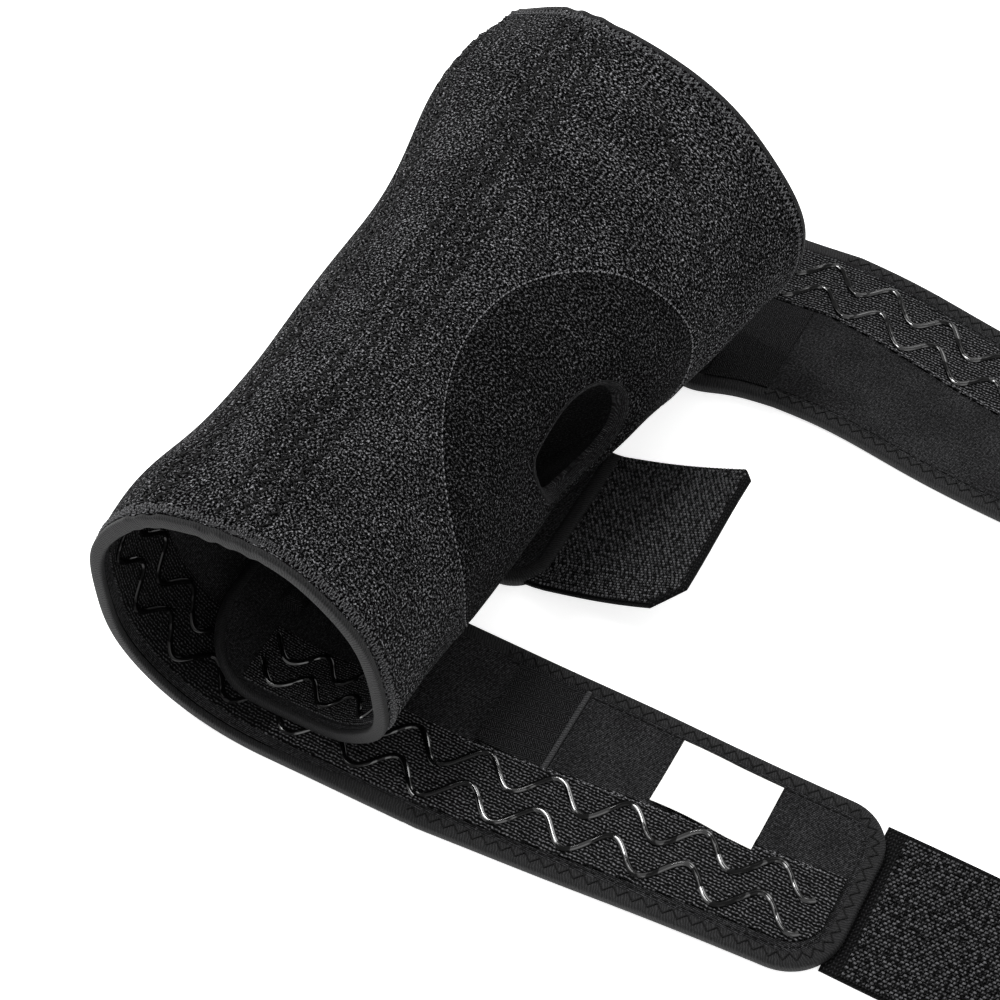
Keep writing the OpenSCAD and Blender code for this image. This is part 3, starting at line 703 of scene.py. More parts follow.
def label_paint():
    p = Paint("label_satin", 0.5, 0.35)
    weave = p.times(p.wave01(p.axis("X"), 0.3), p.wave01(p.axis("Y"), 0.3))
    value = p.plus(p.times(weave, 0.4), p.times(p.noise(p.at(), 0.3, 3), 0.6))
    p.colours(value, (0.1, (0.80, 0.80, 0.78)), (0.8, (0.93, 0.93, 0.91)))
    return p.bumps(value, 0.3, 0.08)


def steel_paint():
    p = Paint("spring_steel", 0.32, 0.5, Metallic=1.0)
    brushed = p.noise(p.at(6, 0.15), 1.2, 4)
    p.colours(brushed, (0.25, (0.30, 0.31, 0.33)), (0.75, (0.52, 0.53, 0.55)))
    p.rough(brushed, 0.24, 0.45)
    return p.bumps(brushed, 0.15, 0.05)


def hook_paint():
    """Moulded nylon hooks, a little lighter than their backing."""
    p = Paint("nylon_hooks", 0.6, 0.1)
    speck = p.noise(p.at(), 0.7, 2)
    p.colours(speck, (0.4, 0.003), (0.62, 0.12))
    return p.bumps(speck, 0.2, 0.1)


def webbing_paint():
    p = Paint("tight_webbing", 0.85, 0.04)
    weave = p.math("MAXIMUM", p.times(p.wave01(p.axis("X"), 1.0), p.wave01(p.axis("Y"), 1.6)),
                   p.times(p.wave01(p.axis("X", math.pi / 4), 1.0), 0.6))
    value = p.plus(p.times(weave, 0.7), p.times(p.noise(p.at(), 2, 2), 0.25))
    p.colours(value, (0.1, 0.001), (0.5, 0.005), (0.95, 0.035))
    return p.bumps(value, 0.9, 0.35)


PILE = pile_paint()
INSERT_PILE = pile_paint("insert_pile", cell=0.8, tip_highlight=0.16, busy=-0.1, tone=0.5)
LINING = lining_paint()
INSERT_LINING = lining_paint("insert_jersey", 0.008, 0.022)
FOAM = foam_paint()
BINDING = binding_paint()
THREAD = binding_paint("thread", 0.06)
OVERLOCK = binding_paint("overlock_thread", 0.13)
SEAM_THREAD = binding_paint("seam_thread", 0.22)
DARK_THREAD = binding_paint("dark_thread", 0.004)
ELASTIC = elastic_paint()
# Darker copies for the side of the panel: they stand in for the shade inside the sleeve
SHADED_SIDE_ELASTIC = elastic_paint("grip_elastic_worn", 0.4)
TAPE = tape_paint()
SILICONE = silicone_paint()
SHADED_SIDE_SILICONE = silicone_paint("silicone_bead_shaded", 0.25)
LABEL = label_paint()
RING_FOAM = lining_paint("ring_cover", 0.008, 0.02)
STEEL = steel_paint()
HOOKS = hook_paint()
WEBBING = webbing_paint()


# ---- Cloth layers ----
RIM_IN = 2.6
TAB_CORNER = 15
LAYERS = {
    "pile": (0, PILE_T, PILE, "pile_fabric", 1.3),
    "foam": (PILE_T, FOAM_TOP, FOAM, "neoprene_foam", 4),
    "lining": (FOAM_TOP, PANEL_T, LINING, "lining_fabric", 2),
}
BACK, FRONT = "back_panel", "front_panel"
SIDE_BLEND = ((0, 0, 0.040), (0, 0, 0.070))
FOLD_HALF = 4.5


def fold_blend(x, half=FOLD_HALF):
    return ((x - half) * MM, 0, 0), ((x + half) * MM, 0, 0)


def cloth_piece(build, name, material, slot, size, held, rests_on, nodes, bodies, bend=None):
    """Finishes one sheet of cloth: its size, what it stands for and what it moves with."""
    piece = build.make(name, material, slot)
    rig.replaces(piece, *nodes)
    attach(piece, bodies, bend)
    width, length, area = size
    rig.sheet(piece, flat=(width, length), held=held, rests_on=rests_on,
             area=min(area, width * length))
    return piece


def attach(piece, bodies, bend=None):
    if isinstance(bodies, str):
        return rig.ride(piece, bodies)
    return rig.blend(piece, *bodies, *bend)


def trim(build, name, material, slot, bodies, bend=None, nodes=()):
    """Finishes a binding, thread or other small piece."""
    piece = build.make(name, material, slot, sharp=60)
    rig.replaces(piece, *nodes)
    attach(piece, bodies, bend)
    return piece


def side_grid(step):
    q = np.linspace(0, TOP_S, int(TOP_S / step) + 1)[None, :]
    v = np.linspace(RIM_IN / LENGTH, 1 - RIM_IN / LENGTH, int(LENGTH / step) + 1)[:, None]
    return np.broadcast_arrays(q, v)


def lap_end(v):
    d = np.maximum(0, 1 - np.minimum(v, 1 - v) / LAP_CORNER_V)
    return LAP_S - LAP_CORNER_S * (1 - np.sqrt(np.maximum(0, 1 - d * d)))


def lap_path(v_edge, inset, step):
    """Round the lap end: q and v from the calf edge to the thigh edge, inset degrees in."""
    turn = np.linspace(0, 1, 60)
    corner = LAP_CORNER_V * (1 - np.cos(turn * np.pi / 2))
    v = np.concatenate([corner, np.linspace(LAP_CORNER_V, 1 - LAP_CORNER_V, 30), 1 - corner[::-1]])
    v = np.unique(np.clip(v, v_edge, 1 - v_edge))
    return spaced(lap_end(v) - inset, v, step)


def on_oval(oval, turn, scale=1.0):
    """q and v on an oval at the angle turn."""
    mid_s, rs, mid_v, rv = oval
    return mid_s + rs * scale * np.cos(turn), mid_v + rv * scale * np.sin(turn)


def front_ring(step):
    """Rows from the outline of the front panel in to the seam of the insert."""
    v_edge = RIM_IN / LENGTH
    lap_q, lap_v = lap_path(v_edge, RIM_IN, step)
    calf = spaced([TOP_S, lap_q[0]], [v_edge] * 2, step)
    thigh = spaced([lap_q[-1], TOP_S], [1 - v_edge] * 2, step)
    top = spaced([TOP_S, TOP_S], [1 - v_edge, v_edge], step)
    parts = calf, (lap_q, lap_v), thigh, top
    q, v = (np.concatenate([part[axis][:-1] for part in parts]) for axis in (0, 1))
    mid_s, rs, mid_v, rv = INSERT
    turn = np.arctan2((v - mid_v) / rv, (q - mid_s) / rs)
    t = np.linspace(0, 1, max(8, int(70 / step)))[:, None]
    seam_q, seam_v = on_oval(INSERT, turn)
    return mix(q, seam_q, t), mix(v, seam_v, t)


def oval_ring(outer, inner, step, outer_scale=1.0):
    """Rows from one oval in to another."""
    turn = np.linspace(0, 2 * np.pi, max(24, int(360 / step)), endpoint=False)
    (q0, v0), (q1, v1) = on_oval(outer, turn, outer_scale), on_oval(inner, turn)
    t = np.linspace(0, 1, max(4, int(50 / step)))[:, None]
    return mix(q0, q1, t), mix(v0, v1, t)


def outer_edge_y(x, fold_x, tip_x, outer, outer_tip, inner, inner_tip, inset):
    """y of the outer and inner edges of a wing at x, inset millimetres in."""
    side = 1 if outer > inner else -1
    ro, ri = TIP_R_OUTER, TIP_R_INNER
    t = np.clip((x - fold_x) / (tip_x - ro - fold_x), 0, 1)
    out = mix(outer, outer_tip, t) - side * inset
    into = mix(inner, inner_tip, np.clip((x - fold_x) / (tip_x - ri - fold_x), 0, 1)) + side * inset
    a = np.clip((x - (tip_x - ro)) / (ro - inset), 0, 1)
    b = np.clip((x - (tip_x - ri)) / (ri - inset), 0, 1)
    out = out - side * (ro - inset) * (1 - np.sqrt(1 - a * a))
    into = into + side * (ri - inset) * (1 - np.sqrt(1 - b * b))
    return out, into


CALF_WING = (CALF_FOLD_X, CALF_TIP_X, CALF_Y + OUTER_DROP, CALF_OUTER_TIP_Y, CALF_INNER_Y, CALF_INNER_Y)
THIGH_WING = (THIGH_FOLD_X, THIGH_TIP_X, THIGH_Y, THIGH_OUTER_TIP_Y, THIGH_INNER_Y, THIGH_INNER_TIP_Y)


def wing_grid(wing, step):
    fold_x, tip_x = wing[:2]
    tip = tip_x - TIP_R_OUTER
    straight = np.arange(fold_x - FOLD_HALF, tip, step)
    a = np.linspace(0, np.pi / 2, int(TIP_R_OUTER * 1.6 / step) + 2)
    x = np.concatenate([straight, tip + (TIP_R_OUTER - RIM_IN) * np.sin(a)])
    out, into = outer_edge_y(x, *wing, RIM_IN)
    low, high = np.minimum(out, into), np.maximum(out, into)
    t = np.linspace(0, 1, int(np.ptp([low.min(), high.max()]) / step))[:, None]
    x, low, high = x[::-1], low[::-1], high[::-1]
    return on_floor(np.broadcast_to(x, (len(t), len(x))), mix(low, high, t))


def wing_loop(wing, step):
    """The edge of a wing from its fold, along the outer edge, round the tip and back along the inner edge."""
    fold_x, tip_x, outer, outer_tip, inner, inner_tip = wing
    x0 = fold_x - FOLD_HALF
    return rounded([(x0, outer, 0), (fold_x, outer, 0), (tip_x, outer_tip, TIP_R_OUTER),
                    (tip_x, inner_tip, TIP_R_INNER), (fold_x, inner, 0), (x0, inner, 0)], step)


def floor_slab(build, h0, h1):
    """The flat of the back panel, between the roll and the wings, with its cut-outs beside the tab root."""
    inner_calf, inner_thigh = CALF_INNER_Y - RIM_IN, THIGH_INNER_Y + RIM_IN
    tab_low, tab_high = TAB_Y - TAB_W / 2 + RIM_IN, TAB_Y + TAB_W / 2 - RIM_IN
    low, high = CALF_Y + RIM_IN, THIGH_Y - RIM_IN
    notch, root = NOTCH_X - RIM_IN, TAB_ROOT_X - RIM_IN
    calf_x, thigh_x = CALF_FOLD_X - FOLD_HALF, THIGH_FOLD_X - FOLD_HALF

    def lines(stops, step=2.0):
        parts = [np.linspace(a, b, max(2, int((b - a) / step) + 1))[:-1] for a, b in zip(stops, stops[1:])]
        return np.concatenate([*parts, [stops[-1]]])

    x = lines([FLAT_X, notch, root, calf_x, thigh_x])[::-1]
    y = lines([low, inner_calf, tab_low, tab_high, inner_thigh, high])
    cx, cy = np.meshgrid((x[1:] + x[:-1]) / 2, (y[1:] + y[:-1]) / 2)
    kept = (cx < notch) | ((cx < calf_x) & (cy < inner_calf)) | (cy > inner_thigh)
    past = np.maximum(0, cx - root + TAB_CORNER), np.maximum(0, tab_low + TAB_CORNER - cy)
    beside = np.hypot(*past) < TAB_CORNER
    kept |= (cx < root) & (cy > tab_low) & (cy < tab_high) & beside
    gx, gy = np.meshgrid(x, y)
    toward = np.clip((inner_calf - gy) / (inner_calf - low), 0, 1)
    gy = gy + OUTER_DROP * (gx - FLAT_X) / (CALF_FOLD_X - FLAT_X) * toward
    q, v = on_floor(gx, gy)
    n, w = q.shape
    half = n * w
    j, i = np.nonzero(kept)
    a = j * w + i
    faces = [np.stack([a, a + 1, a + w + 1, a + w], -1), np.stack([a + w, a + w + 1, a + 1, a], -1) + half]
    for dj, di, c0, c1 in ((-1, 0, 0, 1), (1, 0, w + 1, w), (0, -1, w, 0), (0, 1, 1, w + 1)):
        nj, ni = j + dj, i + di
        inside = (nj >= 0) & (nj < n - 1) & (ni >= 0) & (ni < w - 1)
        open_side = ~inside
        open_side[inside] = ~kept[nj[inside], ni[inside]]
        p0, p1 = a[open_side] + c0, a[open_side] + c1
        faces.append(np.stack([p0, p0 + half, p1 + half, p1], -1))
    points = np.concatenate([place(q, v, h0).reshape(-1, 3), place(q, v, h1).reshape(-1, 3)])
    uv = np.stack([arc(q), mix(CALF_Y, THIGH_Y, v)], -1).reshape(-1, 2)
    used = np.unique(np.concatenate([f.ravel() for f in faces]))
    new = np.full(len(points), -1)
    new[used] = np.arange(len(used))
    width, length = x[0] - x[-1], y[-1] - y[0]
    area = (np.abs(np.outer(np.diff(y), np.diff(x))) * kept).sum()
    build.add(points[used], np.concatenate([uv, uv])[used], [new[f] for f in faces])
    return width * MM, length * MM, area * MM * MM


def strap_press(q, v, tip_x, strap_y):
    """1 where the strap is sewn under the wing, 0 elsewhere."""
    x, y = FLAT_X - q, mix(CALF_Y, THIGH_Y, v)
    return smooth((x - (tip_x - 33)) / 4) * smooth((19 - np.abs(y - strap_y)) / 3)


for layer, (top, under, paint, slot, step) in LAYERS.items():
    made = Build()
    size = floor_slab(made, top, under)
    cloth_piece(made, "floor_" + layer, paint, slot, size, "laid", ["floor"], ["back_" + layer], BACK)

    q, v = side_grid(step)
    cloth_piece(shell(Build(), q, v, top, under), "side_" + layer, paint, slot, flat_size(q, v), "folded",
                ["floor_" + layer], ["back_" + layer], (BACK, FRONT), SIDE_BLEND)

    q, v = front_ring(step)
    cloth_piece(shell(Build(), q, v, top, under, loop=True), "front_" + layer + "_cloth", paint, slot,
                flat_size(q, v), "folded", ["side_" + layer], ["front_" + layer], FRONT)

    for leg, wing, strap_y in (("calf", CALF_WING, CALF_STRAP_Y), ("thigh", THIGH_WING, THIGH_STRAP_Y)):
        q, v = wing_grid(wing, step * 1.3)
        press = strap_press(q, v, wing[1], strap_y)
        depth = [h + 1.3 * (1 - h / PANEL_T) * press for h in (top, under)]
        name = leg + "_wing_" + layer
        cloth_piece(shell(Build(), q, v, *depth), name + "_cloth", paint, slot, flat_size(q, v),
                    "laid", ["floor"], [name], (BACK, leg + "_wing"), fold_blend(wing[0]))

# The insert: its own pile backed with foam, and its lining
for name, nodes, h0, h1, paint, slot, step in (
        ("insert_pile", ["patella_insert"], 0, PILE_T, INSERT_PILE, "insert_fabric", 1.3),
        ("insert_foam", [], PILE_T, FOAM_TOP, FOAM, "neoprene_foam", 4),
        ("insert_lining_cloth", ["insert_lining"], FOAM_TOP, PANEL_T, INSERT_LINING, "lining_fabric", 2)):
    q, v = oval_ring(INSERT, HOLE, step, 0.998)
    cloth_piece(shell(Build(), q, v, h0, h1, loop=True), name, paint, slot, flat_size(q, v), "folded",
                ["front_lining_cloth"], nodes, FRONT)


# ---- Rims, threads and bands ----
ROLL_RIM = 0.46
HEM = ring((2.5, 2.35), 2.8, 2.35, 16, 4)


def rim(name, q, v, widen, bodies, bend=None, nodes=()):
    return trim(sweep(Build(), q, v, HEM, widen=widen), name, BINDING, "edge_binding", bodies, bend, nodes)


def overlock(name, q, v, bodies, bend=None):
    """The hatched band of thread outside the rim of the sleeve."""
    made = Build()
    q, v = spaced(q, v, 0.13)
    run = np.arange(len(q)) * 0.13
    nq, nv = heading(q, v)
    wave = 4.3 + 1.5 * np.arcsin(np.sin(np.pi * run / 0.95)) / (np.pi / 2)
    sweep(made, q + nq * wave, v + nv * wave, ring((0, -0.22), 0.22, 0.28, 5))
    return trim(made, name, OVERLOCK, "edge_binding", bodies, bend)


def path(points, step=1.0):
    q, v = np.array(points, float).T
    return spaced(q, v, step)


calf_x, thigh_x = CALF_FOLD_X - FOLD_HALF, THIGH_FOLD_X - FOLD_HALF
drop_v = OUTER_DROP * (calf_x - FLAT_X) / (CALF_FOLD_X - FLAT_X) / LENGTH
calf_floor = path([(FLAT_X - calf_x, drop_v), (0, 0)])
thigh_floor = path([(0, 1), (FLAT_X - thigh_x, 1)])
side_calf = path([(0, 0), (TOP_S, 0)])
side_thigh = path([(TOP_S, 1), (0, 1)])
lap_q, lap_v = lap_path(0, 0, 1.0)
front_calf, front_thigh = path([(TOP_S, 0), (lap_q[0], 0)]), path([(lap_q[-1], 1), (TOP_S, 1)])
front_edge = [np.concatenate([calf[:-1], lap, thigh[1:]])
              for calf, lap, thigh in zip(front_calf, (lap_q, lap_v), front_thigh)]
for leg, edge in (("calf", calf_floor), ("thigh", thigh_floor)):
    widen = mix(ROLL_RIM, 1, smooth(-edge[0] / 45))
    rim(leg + "_floor_rim", *edge, widen, BACK, nodes=["back_binding_" + leg])
rim("calf_side_rim", *side_calf, ROLL_RIM, (BACK, FRONT), SIDE_BLEND, ["back_binding_calf"])
rim("thigh_side_rim", *side_thigh, ROLL_RIM, (BACK, FRONT), SIDE_BLEND, ["back_binding_thigh"])
rim("front_rim", *front_edge, ROLL_RIM, FRONT,
    nodes=["front_binding_calf", "front_binding_thigh", "lap_binding"])
tab_low, tab_high = TAB_Y - TAB_W / 2, TAB_Y + TAB_W / 2
cut_out = rounded([(thigh_x, THIGH_INNER_Y, 0), (NOTCH_X, THIGH_INNER_Y, 4), (NOTCH_X, tab_high, 4),
                   (TAB_ROOT_X + 0.5, tab_high, 2), (TAB_ROOT_X + 0.5, tab_low, TAB_CORNER),
                   (NOTCH_X, tab_low, 4), (NOTCH_X, CALF_INNER_Y, 4), (calf_x, CALF_INNER_Y, 0)])
rim("cut_out_rim", *cut_out, 1, BACK, nodes=["notch_binding"])
overlock("calf_side_overlock", *path([(22, 0), (TOP_S, 0)]), (BACK, FRONT), SIDE_BLEND)
overlock("thigh_side_overlock", *path([(TOP_S, 1), (22, 1)]), (BACK, FRONT), SIDE_BLEND)
overlock("calf_front_overlock", *path([(TOP_S, 0), (350, 0)]), FRONT)
overlock("thigh_front_overlock", *path([(350, 1), (TOP_S, 1)]), FRONT)

# Stitches: zigzag rows beside the stays, a straight row round the insert
made = Build()
share = np.linspace(0.03, 0.97, 120)
for row in STITCH_ROWS:
    zigzag(made, along(share, row), share, -0.12, width=3.4, pitch=2.4, thick=0.75)
zigzag(made, *path([(193, 0.93), (209, 0.87), (239, 0.80)]), -0.1, width=3.0, pitch=2.4, thick=0.6)
trim(made, "stay_stitches", DARK_THREAD, "edge_binding", FRONT)
turn = np.linspace(0, 2 * np.pi, 200)
made = dashes(Build(), *on_oval(INSERT, turn), -0.3, pitch=2.3, length=1.7, thick=0.6)
trim(made, "insert_stitches", SEAM_THREAD, "edge_binding", FRONT)

# The edge of the patella hole, bound all round, and the foam ring behind it. The lip's flat width, length and
# area are given. The area is not width times length, and the mesh has about 24 percent more of it.
LIP_FLAT = (0.129, 0.0105, 0.0006)
turn = np.linspace(0, 2 * np.pi, 160)
made = sweep(Build(), *on_oval(HOLE, turn), ring((-0.2, 2.1), 1.0, 2.2, 14, 3))
trim(made, "hole_rim", RING_FOAM, "edge_binding", FRONT, nodes=["hole_edging"])
t = np.linspace(0, 1, 14)[:, None]
turn = np.linspace(0, 2 * np.pi, 120, endpoint=False)[None, :]
off = (turn - np.radians(245) + np.pi) % (2 * np.pi) - np.pi
size = 1.0 - t * (0.06 + 0.3 * bump(off, 0.9))
depth = 0.6 + 3.0 * t + 6.0 * t * t * bump(off, 0.9)
q, v = on_oval(HOLE, turn, size)
cloth_piece(shell(Build(), q, v, depth, depth + 1.2, loop=True), "hole_lip", RING_FOAM, "insert_fabric",
            LIP_FLAT, "folded", ["hole_rim"], [], FRONT)
size = mix(1.6, 1.12, t)
q, v = on_oval(HOLE, turn, size)
swell = PANEL_T + 0.2 + 2.5 * np.sqrt(np.maximum(0, 1 - (2 * t - 1) ** 2)) + 0 * turn
made = shell(Build(), q, v, PANEL_T - 0.1, swell, loop=True).make("foam_ring", RING_FOAM, "ring_foam")
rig.replaces(made, "patella_ring")
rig.ride(made, FRONT)
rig.padded(made, fill=0.9)

# Spring stays and the tapes that hold them
for number, mid in enumerate(STAYS, 1):
    share = np.linspace(0.16, 0.83, 130)
    made = sweep(Build(), np.full(130, mid), share, ring((0, PANEL_T + 1.6), 3.0, 0.95, 12, 4))
    trim(made, "spring_stay_%d" % number, STEEL, "stay_steel", FRONT, nodes=["stay_%d" % number])
    q, v = np.broadcast_arrays(mid + np.linspace(-6, 6, 19)[None, :], np.linspace(0.15, 0.84, 120)[:, None])
    lift = 3.0 * smooth((5.4 - np.abs(q - mid)) / 1.9) * smooth((np.minimum(v - 0.15, 0.84 - v)) / 0.012)
    cloth_piece(shell(Build(), q, v, PANEL_T - 0.1 + lift, PANEL_T + 0.5 + lift), "stay_tape_%d" % number, TAPE,
                "lining_fabric", flat_size(q, v), "folded", ["front_lining_cloth"], ["stay_pockets"], FRONT)

# Elastic grip bands inside both edges, with wavy silicone beads
BAND_IN = 6


TAPE_SINK = 0.1
BAND_END, BEADS_END = 378, 376
BEAD_WAVE, BEAD_SWING = 25, 5
BEAD_SECTION = ring((0, PANEL_T + TAPE_T + 0.5), 1.05, 0.62, 8)


def on_lining(q, v):
    """A band or tape sewn to the lining."""
    return shell(Build(), q, v, PANEL_T - TAPE_SINK, PANEL_T + TAPE_T)


def band_rows(edge, side, q, step=1.6):
    """q and v of a band along an edge at v 0 or 1, side +1 or -1 into the panel."""
    d = np.linspace(BAND_IN, BAND_IN + GRIP_W, int(GRIP_W / step) + 1)
    low_v = edge + side * d / LENGTH
    return np.broadcast_arrays(q[None, :], np.sort(low_v)[:, None])


def beads(q0, q1, edge, side, steps=900):
    """Wavy silicone lines along an edge at v 0 or 1, from q0 to q1."""
    build, q = Build(), np.linspace(q0, q1, steps)
    for row in BEAD_ROWS:
        wave = edge + side * (4 + row + BEAD_SWING * np.sin(2 * np.pi * arc(q) / BEAD_WAVE)) / LENGTH
        sweep(build, *spaced(q, wave, 0.7), BEAD_SECTION)
    return build


for end, edge, side, fold_x in (("calf", 0, 1, CALF_FOLD_X), ("thigh", 1, -1, THIGH_FOLD_X)):
    last = fold_x - FOLD_HALF
    q, v = band_rows(edge, side, np.linspace(FLAT_X - last, 0, int(last / 1.6)))
    if end == "calf":
        v = v + OUTER_DROP / LENGTH * (-q) / (CALF_FOLD_X - FLAT_X)
    cloth_piece(on_lining(q, v), end + "_floor_band", ELASTIC, "elastic_band", flat_size(q, v),
                "laid", ["floor_lining"], ["back_grip_" + end], BACK)
    # The side band and its beads take the darker copies: painted shade inside the sleeve, fainter glints on the beads
    q, v = band_rows(edge, side, np.linspace(0, TOP_S, 110))
    cloth_piece(on_lining(q, v), end + "_side_band", SHADED_SIDE_ELASTIC, "elastic_band", flat_size(q, v),
                "folded", ["side_lining"], ["back_grip_" + end], (BACK, FRONT), SIDE_BLEND)
    q, v = band_rows(edge, side, np.linspace(TOP_S, BAND_END, 130))
    cloth_piece(on_lining(q, v), end + "_front_band", ELASTIC, "elastic_band", flat_size(q, v),
                "folded", ["front_lining_cloth"], ["front_grip_" + end], FRONT)
    for part, q0, q1, paint, bodies, bend, node in (
            ("floor", FLAT_X - last, 0, SILICONE, BACK, None, "back_beads"),
            ("side", 0, TOP_S, SHADED_SIDE_SILICONE, (BACK, FRONT), SIDE_BLEND, "back_beads"),
            ("front", TOP_S, BEADS_END, SILICONE, FRONT, None, "front_beads")):
        trim(beads(q0, q1, edge, side), end + "_" + part + "_beads", paint, "silicone", bodies, bend, [node])


# ---- Wings ----
def outer_line(wing, x):
    """y of the outer edge of a wing at x, its corner left square."""
    fold_x, tip_x, outer, outer_tip = wing[:4]
    return mix(outer, outer_tip, np.clip((x - fold_x) / (tip_x - TIP_R_OUTER - fold_x), 0, 9))


def wing_band(wing, inset, wide, step):
    """q and v of the elastic band along the outer edge of a wing."""
    fold_x, tip_x, outer = wing[:3]
    side = 1 if outer > wing[4] else -1
    x = np.arange(fold_x - FOLD_HALF, tip_x - 6.5, step)
    near, _ = outer_edge_y(x, *wing, inset)
    far = outer_line(wing, x) - side * (inset + wide)
    low, high = np.minimum(near, far), np.maximum(near, far)
    t = np.linspace(0, 1, int(wide / step) + 1)[:, None]
    return on_floor(np.broadcast_to(x[::-1], (len(t), len(x))), mix(low[::-1], high[::-1], t))


def flat_rect(x0, x1, y0, y1, step):
    x = np.linspace(x1, x0, max(3, int((x1 - x0) / step) + 1))
    y = np.linspace(y0, y1, max(3, int((y1 - y0) / step) + 1))
    return on_floor(*np.meshgrid(x, y))


for leg, wing in (("calf", CALF_WING), ("thigh", THIGH_WING)):
    fold_x, tip_x, outer, _, inner, _ = wing
    side = 1 if outer > inner else -1
    body, bend = leg + "_wing", fold_blend(fold_x)
    edge = wing_loop(wing, 0.8)
    if side < 0:
        edge = tuple(e[::-1] for e in edge)
    rim(leg + "_wing_rim", *edge, 1, (BACK, body), bend, [leg + "_wing_binding"])
    made = zigzag(Build(), *edge, PANEL_T + 0.62, width=2.6, pitch=2.5, thick=0.55, side=3.1)
    dashes(made, *edge, PANEL_T + 0.12, pitch=3.0, length=2.3, side=6.3)
    trim(made, leg + "_wing_stitches", DARK_THREAD, "edge_binding", (BACK, body), bend)

    q, v = wing_band(wing, BAND_IN + 0.8, GRIP_W - 0.8, 1.6)
    cloth_piece(on_lining(q, v), leg + "_wing_band", ELASTIC, "elastic_band", flat_size(q, v),
                "laid", [leg + "_wing_lining_cloth"], [leg + "_grip_band"], (BACK, body), bend)
    made = Build()
    t = np.linspace(0, 1, 700)
    x = mix(fold_x - FOLD_HALF, tip_x - 13, t)
    for row in BEAD_ROWS:
        middle = outer_line(wing, x) - side * (4 + row)
        y = middle - side * BEAD_SWING * np.sin(2 * np.pi * (FLAT_X - x) / BEAD_WAVE)
        sweep(made, *spaced(*on_floor(x[::-1], y[::-1]), 0.7), BEAD_SECTION)
    trim(made, leg + "_wing_beads", SILICONE, "silicone", (BACK, body), bend, [leg + "_beads"])
    # The light row of stitches along the far edge of the band
    made = Build()
    y = outer_line(wing, x) - side * (BAND_IN + GRIP_W - 1.0)
    dashes(made, *spaced(*on_floor(x[::-1], y[::-1]), 0.7), PANEL_T + TAPE_T + 0.1, pitch=2.4, length=1.9)
    trim(made, leg + "_band_stitches", SEAM_THREAD, "edge_binding", (BACK, body), bend)

# Cross tapes
q, v = flat_rect(CALF_FOLD_X + 2, CALF_FOLD_X + 27, -110, -76, 1.6)
cloth_piece(on_lining(q, v), "calf_tape", TAPE, "woven_tape", flat_size(q, v), "laid",
            ["calf_wing_lining_cloth"], ["calf_cross_tape"], (BACK, "calf_wing"), fold_blend(CALF_FOLD_X))
ridge = sweep(Build(), *spaced(*on_floor([CALF_FOLD_X + 27] * 2, [-110, -76]), 0.8),
              ring((0, PANEL_T + 0.6), 1.0, 0.55, 8))
trim(ridge, "calf_tape_edge", THREAD, "woven_tape", "calf_wing")
q, v = flat_rect(56, 79.3, 73, 116, 1.6)
cloth_piece(on_lining(q, v), "thigh_tape", TAPE, "woven_tape", flat_size(q, v),
            "laid", ["floor_lining"], ["thigh_cross_tape"], BACK)

# The blank care label, sewn down along one edge and a little curled
q, v = flat_rect(119, 155, -103.5, -77.5, 1.0)
x, y = FLAT_X - q, mix(CALF_Y, THIGH_Y, v)
curl = 0.15 + 1.9 * smooth((-90 - y) / 16) * (0.6 + 0.4 * np.sin((x - 119) / 9)) + 0.35 * np.sin((x - 119) / 6.5)
curl = np.maximum(curl, 0.12 + 0.9 * smooth((-97 - y) / 3))
cloth_piece(shell(Build(), q, v, PANEL_T + curl, PANEL_T + curl + 0.25), "blank_label", LABEL, "label_cloth",
            flat_size(q, v), "laid", ["calf_wing_lining_cloth"], ["care_label"], "calf_wing")


# ---- Straps and tab ----
def hooks(build, x, y, z, height, to, lean):
    """Rows of moulded hooks, each a thin stem bent over at its top."""
    gx, gy = np.meshgrid(x, y)
    gx[1::2] += 0.55 * (x[1] - x[0])
    gx, gy = gx.ravel(), gy.ravel()
    path_x = np.array([0, 0.05, 0.35, 0.75]) * lean
    path_z = np.array([0, 0.6, 0.95, 0.7]) * height
    half = np.array([0.36, 0.3, 0.32, 0.2])
    square = np.array([(-1, -1), (1, -1), (1, 1), (-1, 1)])
    px = gx[:, None, None] + path_x[None, :, None] + (half[:, None] * square[:, 0])[None]
    py = gy[:, None, None] + (half[:, None] * square[:, 1])[None]
    pz = z + path_z[None, :, None] + np.zeros_like(px)
    return build.add(to(px, py, pz), np.stack([px, py], -1), bar_faces(len(gx), 4, 4))


def plate(build, x, y, z0, z1, to):
    """A closed slab over a grid of x and y, x the columns."""
    n, w = x.shape
    half = n * w
    low, high = to(x, y, z0 + 0 * x), to(x, y, z1 + 0 * x)
    a = grid_faces(n, w, 0, False)
    i, j = np.arange(w - 1), np.arange(n - 1) * w
    last, e = (n - 1) * w, np.arange(n - 1) * w + w - 1
    faces = [a[:, ::-1], a + half, np.stack([i, i + 1, half + i + 1, half + i], -1),
             np.stack([last + i + 1, last + i, half + last + i, half + last + i + 1], -1),
             np.stack([j + w, j, half + j, half + j + w], -1), np.stack([e, e + w, half + e + w, half + e], -1)]
    uv = np.stack([x, y], -1)
    return build.add(np.stack([low, high]), np.stack([uv, uv]), faces)


def outline_grid(length, width, corner, inset, step, x0=0.0):
    """Grid of a strap from x0, its two far corners rounded."""
    x = np.arange(x0, length - corner, step)
    a = np.linspace(0, np.pi / 2, 8)
    x = np.concatenate([x, length - corner + (corner - inset) * np.sin(a)])
    over = np.clip((x - (length - corner)) / max(corner - inset, 0.1), 0, 1)
    half = width / 2 - inset - (corner - inset) * (1 - np.sqrt(np.maximum(0, 1 - over ** 2)))
    t = np.linspace(-1, 1, max(3, int(width / step)))[:, None]
    return np.broadcast_to(x, (len(t), len(x))), t * half


